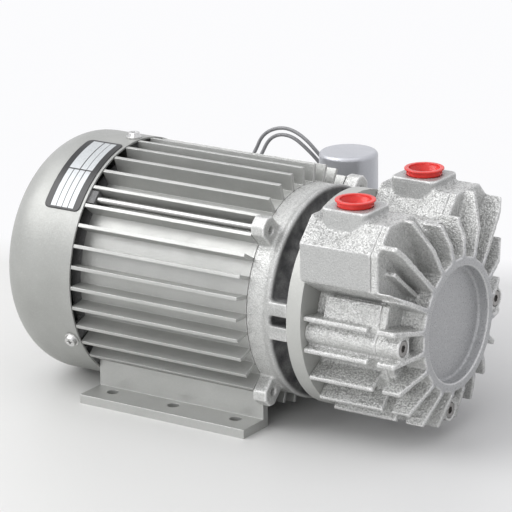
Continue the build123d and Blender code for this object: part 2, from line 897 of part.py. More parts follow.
def wall_outline(x, spans):
    """Raised walls between these pairs of angles about the bore centre, at station x."""
    reach = filler_radius + 2
    with BuildSketch(across(x, bore_height)) as outline:
        for low, high in spans:
            turn_low, turn_high = math.radians(low), math.radians(high)
            Polygon(
                (0, 0),
                (reach * math.cos(turn_low), reach * math.sin(turn_low)),
                (reach * math.cos(turn_high), reach * math.sin(turn_high)),
                align=None,
            )
        Circle(filler_radius, mode=Mode.INTERSECT)
    return outline.sketch


def head_seat(depth):
    """Station of the screw head seat in a cover boss of this depth."""
    return parting_face + depth - screw_head_height - screw_head_inset


# Shoulder block with its port boss on the far side, sagging between two high ends
with BuildPart() as shoulder_block:
    loft(
        [
            shoulder_outline(plate_face, shoulder_high).face(),
            shoulder_outline(saddle_start, shoulder_low).face(),
        ],
        ruled=True,
    )
    extrude(shoulder_outline(saddle_start, shoulder_low), amount=saddle_end - saddle_start)
    loft(
        [
            shoulder_outline(saddle_end, shoulder_low).face(),
            shoulder_outline(saddle_end + saddle_rise, shoulder_high).face(),
        ],
        ruled=True,
    )
    extrude(
        shoulder_outline(saddle_end + saddle_rise, shoulder_high),
        amount=parting_face - saddle_end - saddle_rise,
    )
    extrude(
        wall_outline(plate_face + filler_setback, filler_angles),
        amount=cylinder_length - filler_setback,
    )
    with BuildSketch(Plane.XY.offset(block_low)):
        with Locations((port_x, (port_boss_inner + port_boss_outer) / 2)):
            RectangleRounded(port_boss_length, port_boss_outer - port_boss_inner, port_corner)
    extrude(amount=port_boss_top - block_low)
    with BuildSketch(across(plate_face, bore_height)):
        Circle((wall_radius + bore_radius) / 2)
    extrude(amount=cylinder_length, mode=Mode.SUBTRACT)

# Pump cylinder: chamber wall, lower fins, screw bosses, shoulder blocks and port bosses
fin_stop = parting_face - joint_flange
with BuildPart() as pump_cylinder:
    extrude(wall_outline(plate_face, boss_wall_angles), amount=cylinder_length)
    with BuildSketch(across(plate_face, bore_height)):
        Circle(bore_radius)
    extrude(amount=cylinder_length, mode=Mode.SUBTRACT)
    with BuildSketch(across(plate_face, bore_height)):
        Circle(wall_radius)
        with PolarLocations(screw_circle, 4):
            Circle(boss_radius)
        with PolarLocations((screw_circle + wall_radius - 3) / 2, 4):
            Rectangle(screw_circle - wall_radius + 3, 2 * boss_radius)
        Circle(bore_radius, mode=Mode.SUBTRACT)
    extrude(amount=cylinder_length)
    with BuildSketch(across(fin_stop, bore_height)):
        Circle(flange_radius)
        Circle(bore_radius, mode=Mode.SUBTRACT)
    extrude(amount=joint_flange)
    with BuildSketch(across(plate_face, bore_height)):
        for step in range(pump_fins):
            angle = pump_fin_pitch * (step + 0.5)
            if 9 < angle < 171:
                continue
            with PolarLocations((wall_radius - fin_root + pump_fin_tip) / 2, 1, start_angle=angle):
                Rectangle(pump_fin_tip - wall_radius + fin_root, pump_fin_thickness)
    extrude(amount=fin_stop - plate_face)
    add(shoulder_block.part)
    add(mirror(shoulder_block.part, about=Plane.XZ, mode=Mode.PRIVATE))
    with BuildSketch(across(plate_face, bore_height)):
        with PolarLocations(screw_circle, 4):
            Circle(screw_radius + hole_clearance)
    extrude(amount=cylinder_length, mode=Mode.SUBTRACT)
    for side in (-1, 1):
        with BuildSketch(Plane.XY.offset(port_boss_top)):
            with Locations((port_x, side * port_y)):
                Circle(port_counterbore_radius)
        extrude(amount=-port_counterbore_depth, mode=Mode.SUBTRACT)
        with BuildSketch(Plane.XY.offset(port_boss_top)):
            with Locations((port_x, side * port_y)):
                Circle(port_thread_radius)
        extrude(amount=-port_counterbore_depth - port_thread_length, mode=Mode.SUBTRACT)
        with BuildSketch(Plane.XY.offset(port_boss_top)):
            with Locations((port_x, side * (port_y - passage_inset))):
                Circle(passage_radius)
        extrude(amount=passage_floor - port_boss_top, mode=Mode.SUBTRACT)
save(pump_cylinder, "pump_cylinder")

# Cone that trims the side and lower fins of the cover
cone_reach = cover_depth / cover_cone_slope
with BuildPart() as lower_cone:
    revolve(
        turned(
            bore_height,
            (parting_face, cover_face_radius + cone_reach),
            (cover_face, cover_face_radius),
            (cover_face, cover_face_radius + cone_reach),
        ),
        axis=bore_axis,
    )
    split(bisect_by=Plane.XY.offset(cover_split_height), keep=Keep.BOTTOM)

# Outline that the cover fins fill: the fin circle and both shoulders, bevelled at the edges
fin_face = parting_face + cover_fin_start
bevel_face = cover_face - bevel_start
with BuildPart() as cover_envelope:
    with BuildSketch(across(fin_face, bore_height)):
        Circle(pump_fin_tip)
    extrude(amount=cover_depth - cover_fin_start)
    extrude(shoulder_outline(fin_face, shoulder_high), amount=cover_depth - cover_fin_start)
    mirror(about=Plane.XZ)
    revolve(
        turned(
            bore_height,
            (parting_face, 0),
            (parting_face, cover_face_radius + cover_depth / cover_face_slope),
            (cover_face, cover_face_radius),
            (cover_face, 0),
        ),
        axis=bore_axis,
        mode=Mode.INTERSECT,
    )
    add(lower_cone.part, mode=Mode.SUBTRACT)
    with BuildSketch(along(0)):
        Polygon(
            (bevel_face, bevel_height),
            (bevel_face - bevel_slope * fin_reach, bevel_height + fin_reach),
            (bevel_face + fin_reach, bevel_height + fin_reach),
            (bevel_face + fin_reach, bevel_height),
            align=None,
        )
    extrude(amount=fin_reach, both=True, mode=Mode.SUBTRACT)
    for side in (-1, 1):
        with BuildSketch(Plane.XY.offset(cover_split_height)):
            Polygon(
                (bevel_face, side * bevel_half_width),
                (bevel_face - bevel_slope * fin_reach, side * (bevel_half_width + fin_reach)),
                (bevel_face + fin_reach, side * (bevel_half_width + fin_reach)),
                (bevel_face + fin_reach, side * bevel_half_width),
                align=None,
            )
        extrude(amount=fin_reach, mode=Mode.SUBTRACT)

# Radial fins of the cover, with a short rib inside each shoulder pocket
with BuildPart() as cover_fins:
    with BuildSketch(across(fin_face, bore_height)):
        with PolarLocations((recess_radius + fin_root + fin_reach) / 2, pump_fins, start_angle=9):
            Rectangle(fin_reach - recess_radius - fin_root, pump_fin_thickness)
    extrude(amount=cover_depth - cover_fin_start)
    with BuildSketch(across(fin_face, bore_height)):
        for angle in (inner_rib_angle, 180 - inner_rib_angle):
            with PolarLocations((cover_hub_radius + inner_rib_radius) / 2, 1, start_angle=angle):
                Rectangle(inner_rib_radius - cover_hub_radius + 4, pump_fin_thickness - 0.5)
    extrude(amount=inner_rib_depth - cover_fin_start)
    add(cover_envelope.part, mode=Mode.INTERSECT)

# Front cover: face hub with a recess, flange, radial fins and flush screw bosses
with BuildPart() as front_cover:
    with BuildSketch(across(parting_face, bore_height)):
        Circle(flange_radius)
        with PolarLocations(screw_circle, 4):
            Circle(boss_radius)
    extrude(amount=cover_flange)
    extrude(shoulder_outline(parting_face, shoulder_high), amount=cover_flange)
    extrude(wall_outline(parting_face, filler_angles), amount=cover_flange)
    mirror(about=Plane.XZ)
    extrude(wall_outline(parting_face, boss_wall_angles), amount=boss_depths[0])
    for angle, depth in boss_depths.items():
        with BuildSketch(across(parting_face, bore_height)):
            with PolarLocations(screw_circle, 1, start_angle=angle):
                Circle(boss_radius)
        extrude(amount=depth)
    with BuildSketch(across(parting_face + cover_flange, bore_height)):
        Circle(cover_pocket_radius)
    extrude(amount=cover_depth, mode=Mode.SUBTRACT)
    with BuildSketch(across(parting_face, bore_height)):
        Circle(cover_hub_radius)
    extrude(amount=cover_depth)
    add(cover_fins.part)
    with BuildSketch(across(cover_face, bore_height)):
        Circle(recess_radius)
    extrude(amount=-recess_depth, mode=Mode.SUBTRACT)
    with BuildSketch(across(parting_face, bore_height)):
        with PolarLocations(screw_circle, 4):
            Circle(screw_radius + hole_clearance)
    extrude(amount=cover_depth, mode=Mode.SUBTRACT)
    for angle, depth in boss_depths.items():
        with BuildSketch(across(head_seat(depth), bore_height)):
            with PolarLocations(screw_circle, 1, start_angle=angle):
                Circle(counterbore_radius)
        extrude(amount=cover_depth, mode=Mode.SUBTRACT)
save(front_cover, "front_cover")

# Cover screws: socket heads flush in their counterbores, threads in the side plate
with BuildPart() as cover_screws:
    for angle, depth in boss_depths.items():
        with BuildSketch(across(shield_face + 1, bore_height)):
            with PolarLocations(screw_circle, 1, start_angle=angle):
                Circle(screw_radius)
        extrude(amount=head_seat(depth) - shield_face - 1)
        with BuildSketch(across(head_seat(depth), bore_height)):
            with PolarLocations(screw_circle, 1, start_angle=angle):
                Circle(screw_head_radius)
        extrude(amount=screw_head_height)
        with BuildSketch(across(head_seat(depth) + screw_head_height, bore_height)):
            with PolarLocations(screw_circle, 1, start_angle=angle):
                RegularPolygon(screw_socket, 6, major_radius=False)
        extrude(amount=-screw_socket_depth, mode=Mode.SUBTRACT)
save(cover_screws, "cover_screws")

# Pump rotor: overhung on the shaft, four radial vane slots
slot_floor = rotor_radius - vane_length - 1.5
with BuildPart() as pump_rotor:
    with BuildSketch(across(rotor_start)):
        Circle(rotor_radius)
        Circle(rotor_bore + seat_clearance, mode=Mode.SUBTRACT)
        for angle in vane_angles:
            with PolarLocations((slot_floor + rotor_radius + 2) / 2, 1, start_angle=angle):
                Rectangle(
                    rotor_radius + 2 - slot_floor,
                    vane_thickness + 2 * vane_clearance,
                    mode=Mode.SUBTRACT,
                )
    extrude(amount=rotor_end - rotor_start)
    with BuildSketch(across(rotor_start)):
        with Locations((rotor_bore, 0)):
            Rectangle(key_width + 2 * running_clearance, key_width + 2 * running_clearance)
    extrude(amount=rotor_end - rotor_start - rotor_counterbore, mode=Mode.SUBTRACT)
    with BuildSketch(across(rotor_end)):
        Circle(end_washer_radius + hole_clearance)
    extrude(amount=-rotor_counterbore, mode=Mode.SUBTRACT)
save(pump_rotor, "pump_rotor")

# Rotor key
with BuildPart() as rotor_key:
    with BuildSketch(across(key_start)):
        with Locations((rotor_bore, 0)):
            Rectangle(key_width, key_width)
    extrude(amount=key_length)
save(rotor_key, "rotor_key")

# Rotor end screw and its washer
with BuildPart() as rotor_end_screw:
    with BuildSketch(across(shaft_front_end)):
        Circle(end_washer_radius)
    extrude(amount=end_washer_thickness)
    with BuildSketch(across(shaft_front_end + end_washer_thickness)):
        Circle(4.8)
    extrude(amount=5.0)
    with BuildSketch(across(shaft_front_end)):
        Circle(end_screw_radius)
    extrude(amount=-end_screw_length)
    with BuildSketch(across(shaft_front_end + end_washer_thickness + 5.0)):
        RegularPolygon(2.5, 6, major_radius=False)
    extrude(amount=-3, mode=Mode.SUBTRACT)
save(rotor_end_screw, "rotor_end_screw")

# Vanes, drawn back into their slots
for number, angle in enumerate(vane_angles, start=1):
    vane_inner = rotor_radius - vane_clearance - vane_length
    with BuildPart() as vane:
        with BuildSketch(across(rotor_start)):
            with PolarLocations(vane_inner + vane_length / 2, 1, start_angle=angle):
                Rectangle(vane_length, vane_thickness)
        extrude(amount=rotor_end - rotor_start)
        away = vane.edges().filter_by(Axis.X).sort_by_distance((rotor_start, 0, shaft_height))[-2:]
        fillet(away, radius=1.2)
    save(vane, f"vane_{number}")

# Port plugs: thin cups with a rolled rim, standing on the machined boss tops
plug_skirt = port_counterbore_radius - running_clearance
plug_floor = port_boss_top - port_counterbore_depth + plug_seat_gap
for name, side in (("near_port_plug", -1), ("far_port_plug", 1)):
    with BuildPart() as port_plug:
        with BuildSketch(Plane.XZ.offset(-side * port_y)):
            with BuildLine():
                Polyline(
                    (port_x, plug_floor),
                    (port_x + plug_skirt, plug_floor),
                    (port_x + plug_skirt, port_boss_top),
                    (port_x + plug_body_radius, port_boss_top),
                    (port_x + plug_body_radius, port_boss_top + plug_height - plug_rim_height),
                    (port_x + plug_rim_radius, port_boss_top + plug_height - plug_rim_height),
                    (port_x + plug_rim_radius, port_boss_top + plug_height),
                    (port_x + plug_skirt - plug_wall, port_boss_top + plug_height),
                    (port_x + plug_skirt - plug_wall, plug_floor + plug_wall),
                    (port_x, plug_floor + plug_wall),
                    close=True,
                )
            make_face()
        revolve(axis=Axis((port_x, side * port_y, 0), (0, 0, 1)))
    save(port_plug, name)

# Terminal box, open towards +Y, on a gasket against the pad
box_length = box_end - box_start
box_height = box_top - box_bottom
box_middle = ((box_start + box_end) / 2, (box_bottom + box_top) / 2)
box_back = pad_face + box_gasket
box_front = box_back + box_depth


def box_plane(y):
    """Plane at depth y that faces the far side, drawn as (minus x, z)."""
    return Plane(origin=(box_middle[0], y, box_middle[1]), x_dir=(-1, 0, 0), z_dir=(0, 1, 0))


box_screw_x = box_length - 2 * box_screw_inset
box_screw_z = box_height - 2 * box_screw_inset
with BuildPart() as terminal_box_gasket:
    with BuildSketch(box_plane(pad_face)):
        RectangleRounded(box_length - 2, 2 * (box_middle[1] - box_bottom) - 10, 3)
        Circle(pad_hole_radius, mode=Mode.SUBTRACT)
    extrude(amount=box_gasket)
save(terminal_box_gasket, "terminal_box_gasket")

with BuildPart() as terminal_box:
    with BuildSketch(box_plane(box_back)):
        RectangleRounded(box_length, box_height, box_corner)
    extrude(amount=box_depth)
    with BuildSketch(box_plane(box_back + box_wall)):
        RectangleRounded(box_length - 2 * box_wall, box_height - 2 * box_wall, 2.5)
    extrude(amount=box_depth, mode=Mode.SUBTRACT)
    with BuildSketch(box_plane(box_back)):
        with GridLocations(box_screw_x, box_screw_z, 2, 2):
            Rectangle(2 * box_screw_inset - 2, 2 * box_screw_inset - 2)
    extrude(amount=box_depth)
    with BuildSketch(box_plane(box_back)):
        Circle(pad_hole_radius)
    extrude(amount=box_wall, mode=Mode.SUBTRACT)
    with BuildSketch(box_plane(box_front)):
        with GridLocations(box_screw_x, box_screw_z, 2, 2):
            Circle(box_screw_radius)
    extrude(amount=-box_screw_depth, mode=Mode.SUBTRACT)
    with BuildSketch(Plane.YZ.offset(box_start)):
        with Locations((gland_y, gland_z)):
            Circle(gland_thread_radius + running_clearance)
    extrude(amount=box_wall, mode=Mode.SUBTRACT)
    with BuildSketch(Plane.XY.offset(box_top)):
        for route in (outer_lead_route, inner_lead_route):
            with Locations((route[0][0], pad_face + route[0][1])):
                Circle(grommet_radius - 1)
    extrude(amount=-2 * box_wall, mode=Mode.SUBTRACT)
save(terminal_box, "terminal_box")

with BuildPart() as terminal_box_lid:
    with BuildSketch(box_plane(box_front)):
        RectangleRounded(box_length, box_height, box_corner)
    extrude(amount=lid_thickness)
    fillet(terminal_box_lid.edges().group_by(Axis.Y)[-1], radius=1.5)
    with BuildSketch(box_plane(box_front)):
        with GridLocations(box_screw_x, box_screw_z, 2, 2):
            Circle(box_screw_radius + hole_clearance)
    extrude(amount=lid_thickness, mode=Mode.SUBTRACT)
save(terminal_box_lid, "terminal_box_lid")

with BuildPart() as lid_screws:
    with BuildSketch(box_plane(box_front + lid_thickness)):
        with GridLocations(box_screw_x, box_screw_z, 2, 2):
            Circle(box_screw_head)
    extrude(amount=box_screw_head_height, taper=12)
    with BuildSketch(box_plane(box_front + lid_thickness)):
        with GridLocations(box_screw_x, box_screw_z, 2, 2):
            Circle(box_screw_radius - seat_clearance)
    extrude(amount=-lid_thickness - box_screw_depth + 2)
save(lid_screws, "lid_screws")

# Terminal board with six studs, standing on the box floor
with BuildPart() as terminal_board:
    with BuildSketch(box_plane(box_back + box_wall)):
        with GridLocations(board_length - board_foot, 0, 2, 1):
            Rectangle(board_foot, board_height)
    extrude(amount=board_foot)
    with BuildSketch(box_plane(box_back + box_wall + board_foot)):
        Rectangle(board_length, board_height)
    extrude(amount=board_thickness)
    with BuildSketch(box_plane(box_back + box_wall + board_foot + board_thickness)):
        with GridLocations(stud_pitch, stud_pitch, 3, 2):
            RegularPolygon(stud_nut_flat, 6, major_radius=False)
    extrude(amount=board_thickness)
    with BuildSketch(box_plane(box_back + box_wall + board_foot + board_thickness)):
        with GridLocations(stud_pitch, stud_pitch, 3, 2):
            Circle(stud_radius)
    extrude(amount=stud_length)
save(terminal_board, "terminal_board")

# Cable gland on the fan side of the box
with BuildPart() as cable_gland:
    with BuildSketch(Plane.YZ.offset(box_start)):
        with Locations((gland_y, gland_z)):
            RegularPolygon(gland_hex, 6, major_radius=False)
    extrude(amount=-gland_nut)
    with BuildSketch(Plane.YZ.offset(box_start - gland_nut)):
        with Locations((gland_y, gland_z)):
            Circle(gland_hex - 1)
    extrude(amount=-(gland_length - 2 * gland_nut), taper=4)
    with BuildSketch(Plane.YZ.offset(box_start)):
        with Locations((gland_y, gland_z)):
            Circle(gland_thread_radius)
    extrude(amount=gland_nut)
    with BuildSketch(Plane.YZ.offset(box_start + gland_nut)):
        with Locations((gland_y, gland_z)):
            Circle(gland_bore)
    extrude(amount=-gland_length, mode=Mode.SUBTRACT)
save(cable_gland, "cable_gland")

# Grommets where the capacitor leads leave the box
with BuildPart() as lead_grommets:
    for route in (outer_lead_route, inner_lead_route):
        with BuildSketch(Plane.XY.offset(box_top)):
            with Locations((route[0][0], pad_face + route[0][1])):
                Circle(grommet_radius - 0.4)
        extrude(amount=grommet_height, taper=8)
        with BuildSketch(Plane.XY.offset(box_top)):
            with Locations((route[0][0], pad_face + route[0][1])):
                Circle(grommet_radius - 1 - seat_clearance)
        extrude(amount=-box_wall - 1)
save(lead_grommets, "lead_grommets")

# Run capacitor: drawn can, base cap with a lead entry, strap to the pad
with BuildPart() as capacitor:
    with BuildSketch(Plane.XY.offset(capacitor_bottom)):
        with Locations((capacitor_x, capacitor_y)):
            Circle(capacitor_radius)
    extrude(amount=capacitor_top - capacitor_bottom)
    fillet(capacitor.edges().group_by(Axis.Z)[-1], radius=capacitor_edge)
save(capacitor, "capacitor")

cap_radius = capacitor_radius + cap_base_wall
with BuildPart() as capacitor_base_cap:
    with BuildSketch(Plane.XY.offset(capacitor_bottom + lug_rise - cap_base_height)):
        with Locations((capacitor_x, capacitor_y)):
            Circle(cap_radius)
        with Locations((lug_x, lug_y)):
            RectangleRounded(lug_size, lug_size, 2)
    extrude(amount=cap_base_height)
    with BuildSketch(Plane.XY.offset(capacitor_bottom)):
        with Locations((capacitor_x, capacitor_y)):
            Circle(capacitor_radius + seat_clearance)
    extrude(amount=cap_base_height, mode=Mode.SUBTRACT)
save(capacitor_base_cap, "capacitor_base_cap")

strap_inner = capacitor_radius + seat_clearance
strap_outer = strap_inner + clamp_thickness
tab_screw_x = strap_outer + clamp_tab / 2
with BuildPart() as capacitor_clamp:
    with BuildSketch(Plane.XY.offset(clamp_low)):
        with Locations((capacitor_x, capacitor_y)):
            Circle(strap_outer)
        with Locations((capacitor_x, pad_face)):
            Rectangle(2 * strap_outer, capacitor_y - pad_face, align=(Align.CENTER, Align.MIN))
            Rectangle(2 * (strap_outer + clamp_tab), clamp_thickness, align=(Align.CENTER, Align.MIN))
        with Locations((capacitor_x, capacitor_y)):
            Circle(strap_inner, mode=Mode.SUBTRACT)
        with Locations((capacitor_x, pad_face)):
            Rectangle(
                2 * strap_inner,
                capacitor_y - pad_face,
                align=(Align.CENTER, Align.MIN),
                mode=Mode.SUBTRACT,
            )
    extrude(amount=clamp_high - clamp_low)
    with BuildSketch(Plane.XZ.offset(-pad_face)):
        with Locations((capacitor_x, (clamp_low + clamp_high) / 2)):
            with GridLocations(2 * tab_screw_x, 0, 2, 1):
                Circle(clamp_hole_radius)
    extrude(amount=-clamp_thickness, mode=Mode.SUBTRACT)
save(capacitor_clamp, "capacitor_clamp")

with BuildPart() as clamp_screws:
    with BuildSketch(Plane.XZ.offset(-pad_face - clamp_thickness)):
        with Locations((capacitor_x, (clamp_low + clamp_high) / 2)):
            with GridLocations(2 * tab_screw_x, 0, 2, 1):
                Circle(clamp_screw_radius)
    extrude(amount=-clamp_screw_height)
save(clamp_screws, "clamp_screws")


def lead(route, name):
    """Round lead along straight runs joined by tangent arcs."""
    route = [(x, pad_face + reach, shaft_height + rise) for x, reach, rise in route]
    radii = []
    for before, here, after in zip(route, route[1:], route[2:]):
        first = Vector(*here) - Vector(*before)
        second = Vector(*after) - Vector(*here)
        half_turn = math.radians(first.get_angle(second)) / 2
        radii.append(0.45 * min(first.length, second.length) / math.tan(half_turn))
    print(name, "radii", [round(radius, 1) for radius in radii])
    with BuildPart() as tube:
        with BuildLine() as path:
            FilletPolyline(*route, radius=radii)
        with BuildSketch(Plane(origin=route[0], z_dir=path.line % 0)):
            Circle(lead_radius)
        sweep(path=path.line)
    route_length = sum(edge.length for edge in path.edges())
    section_volume = math.pi * lead_radius**2 * route_length
    print(name, "length", round(route_length, 1), "volume ratio", round(tube.part.volume / section_volume, 5))
    save(tube, name)


lead(outer_lead_route, "capacitor_lead_outer")
lead(inner_lead_route, "capacitor_lead_inner")
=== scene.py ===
"""Looks of an oil-free rotary vane vacuum pump: its finishes, its dressed pieces, its studio and camera.

Metres throughout, +Z up. +X runs along the shaft from the motor to the pump head, -Y is the side in front.
"""

import logging
import math
from collections.abc import Callable
from dataclasses import dataclass
from enum import Enum

import bmesh
import bpy
import numpy as np
from mathutils import Matrix, Vector

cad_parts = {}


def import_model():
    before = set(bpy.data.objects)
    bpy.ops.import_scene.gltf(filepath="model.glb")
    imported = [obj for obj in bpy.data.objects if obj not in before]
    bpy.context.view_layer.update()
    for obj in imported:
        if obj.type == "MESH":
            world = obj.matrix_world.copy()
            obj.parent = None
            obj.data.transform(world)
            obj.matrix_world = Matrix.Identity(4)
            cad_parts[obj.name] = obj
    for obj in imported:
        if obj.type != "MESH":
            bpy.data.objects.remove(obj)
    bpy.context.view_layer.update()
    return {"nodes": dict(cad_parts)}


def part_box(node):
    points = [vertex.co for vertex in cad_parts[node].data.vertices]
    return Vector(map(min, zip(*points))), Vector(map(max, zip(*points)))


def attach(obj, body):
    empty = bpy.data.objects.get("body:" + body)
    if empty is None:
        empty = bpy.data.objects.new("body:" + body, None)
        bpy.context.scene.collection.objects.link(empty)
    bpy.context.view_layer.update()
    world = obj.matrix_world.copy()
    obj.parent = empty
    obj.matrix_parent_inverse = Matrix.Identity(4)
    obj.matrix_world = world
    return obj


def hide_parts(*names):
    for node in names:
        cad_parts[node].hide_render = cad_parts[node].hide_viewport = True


LOG = logging.getLogger("vacuum_pump")
MM = 0.001
SHAFT_HEIGHT = 0.071
NOISE_RANGE = (0.3, 0.7)
Colour = tuple[float, float, float, float]
Point = tuple[float, float, float]
Pair = tuple[float, float]
Socket = bpy.types.NodeSocket
Sockets = dict[str, Socket]


class Body(Enum):
    """The moving groups that new pieces ride on."""

    HOUSING = "housing"
    NEAR_PLUG = "near_port_plug"
    FAR_PLUG = "far_port_plug"


# Surfaces worked out with numpy


def grey(level: float) -> Colour:
    """Opaque neutral colour of one linear level."""
    return (level, level, level, 1.0)


def linked(name: str, data: bpy.types.ID) -> bpy.types.Object:
    """New object in the scene.

    Args:
        name: name of the object.
        data: its mesh, curve, lamp or camera.

    Returns:
        The object.
    """
    made = bpy.data.objects.new(name, data)
    bpy.context.scene.collection.objects.link(made)
    return made


def ringed(name: str, rings: np.ndarray, uv: np.ndarray | None = None) -> bpy.types.Object:
    """Closed skin over a stack of closed rings, with a fan of triangles at each end.

    Ring r and ring r + 1 are joined by quads; each end fan meets at the mean of its ring.

    Args:
        name: name of the new object.
        rings: points, shape (rings, columns, 3).
        uv: flat coordinates of the same points, shape (rings, columns, 2).

    Returns:
        The object, linked to the scene, with its faces outward.
    """
    rows, columns, _ = rings.shape
    index = np.arange(rows * columns).reshape(rows, columns)
    after = np.roll(index, -1, axis=1)
    quads = np.stack([index[:-1], after[:-1], after[1:], index[1:]], axis=-1).reshape(-1, 4)
    poles = np.array([rows * columns, rows * columns + 1])
    first = np.stack([after[0], index[0], np.full(columns, poles[0])], axis=-1)
    last = np.stack([index[-1], after[-1], np.full(columns, poles[1])], axis=-1)
    points = np.vstack([rings.reshape(-1, 3), rings[0].mean(axis=0), rings[-1].mean(axis=0)])
    mesh = bpy.data.meshes.new(name)
    mesh.from_pydata(points.tolist(), [], quads.tolist() + first.tolist() + last.tolist())
    mesh.update()
    if uv is not None:
        flat = np.vstack([uv.reshape(-1, 2), uv[0].mean(axis=0), uv[-1].mean(axis=0)])
        corners = np.empty(len(mesh.loops), dtype=np.int64)
        mesh.loops.foreach_get("vertex_index", corners)
        layer = mesh.uv_layers.new(name="flat")
        layer.data.foreach_set("uv", flat[corners].astype(np.float32).ravel())
    mesh.polygons.foreach_set("use_smooth", [True] * len(mesh.polygons))
    return linked(name, mesh)


def turned(name: str, profile: np.ndarray, centre: Point, dents: np.ndarray) -> bpy.types.Object:
    """Piece turned about the vertical through centre: (r, h) goes to ((r - d) cos a, (r - d) sin a, h).

    Args:
        name: name of the new object.
        profile: radius and height of each point, from the lower middle outwards, back to the top middle.
        centre: place of the profile's origin.
        dents: how far d each point sinks towards the axis, shape (profile points, steps round the axis).

    Returns:
        The object.
    """
    angle = np.linspace(0, 2 * np.pi, dents.shape[1], endpoint=False)
    radius, height = profile[:, 0, None] - dents, profile[:, 1, None]
    rings = np.stack([radius * np.cos(angle), radius * np.sin(angle), height + 0 * angle], axis=-1)
    return ringed(name, rings + np.array(centre))


def arc(middle: Pair, radius: float, start: float, end: float, count: int) -> np.ndarray:
    """Profile points round a circle: middle + radius (cos a, sin a), with a in degrees from start to end."""
    angle = np.radians(np.linspace(start, end, count))
    return np.stack([middle[0] + radius * np.cos(angle), middle[1] + radius * np.sin(angle)], axis=-1)


def rounded_outline(half_width: float, half_height: float, corner: float, count: int) -> np.ndarray:
    """Rounded rectangle about the origin, its quarter circles and sides cut into equal steps.

    Args:
        half_width: half its extent along the first axis.
        half_height: half its extent along the second.
        corner: radius of its corners.
        count: number of points.

    Returns:
        The points, shape (count, 2).
    """
    turns = np.radians(np.linspace(0, 90, 9))[None, :] + np.radians([0, 90, 180, 270])[:, None]
    signs = np.array([(1, 1), (-1, 1), (-1, -1), (1, -1)])
    centres = signs * np.array([half_width - corner, half_height - corner])
    points = (centres[:, None, :] + corner * np.stack([np.cos(turns), np.sin(turns)], axis=-1)).reshape(-1, 2)
    closed = np.vstack([points, points[:1]])
    walked = np.concatenate([[0.0], np.cumsum(np.linalg.norm(np.diff(closed, axis=0), axis=1))])
    steps = np.linspace(0, walked[-1], count, endpoint=False)
    return np.stack([np.interp(steps, walked, closed[:, 0]), np.interp(steps, walked, closed[:, 1])], axis=-1)


# Node trees: the calls that build them and the shared effects


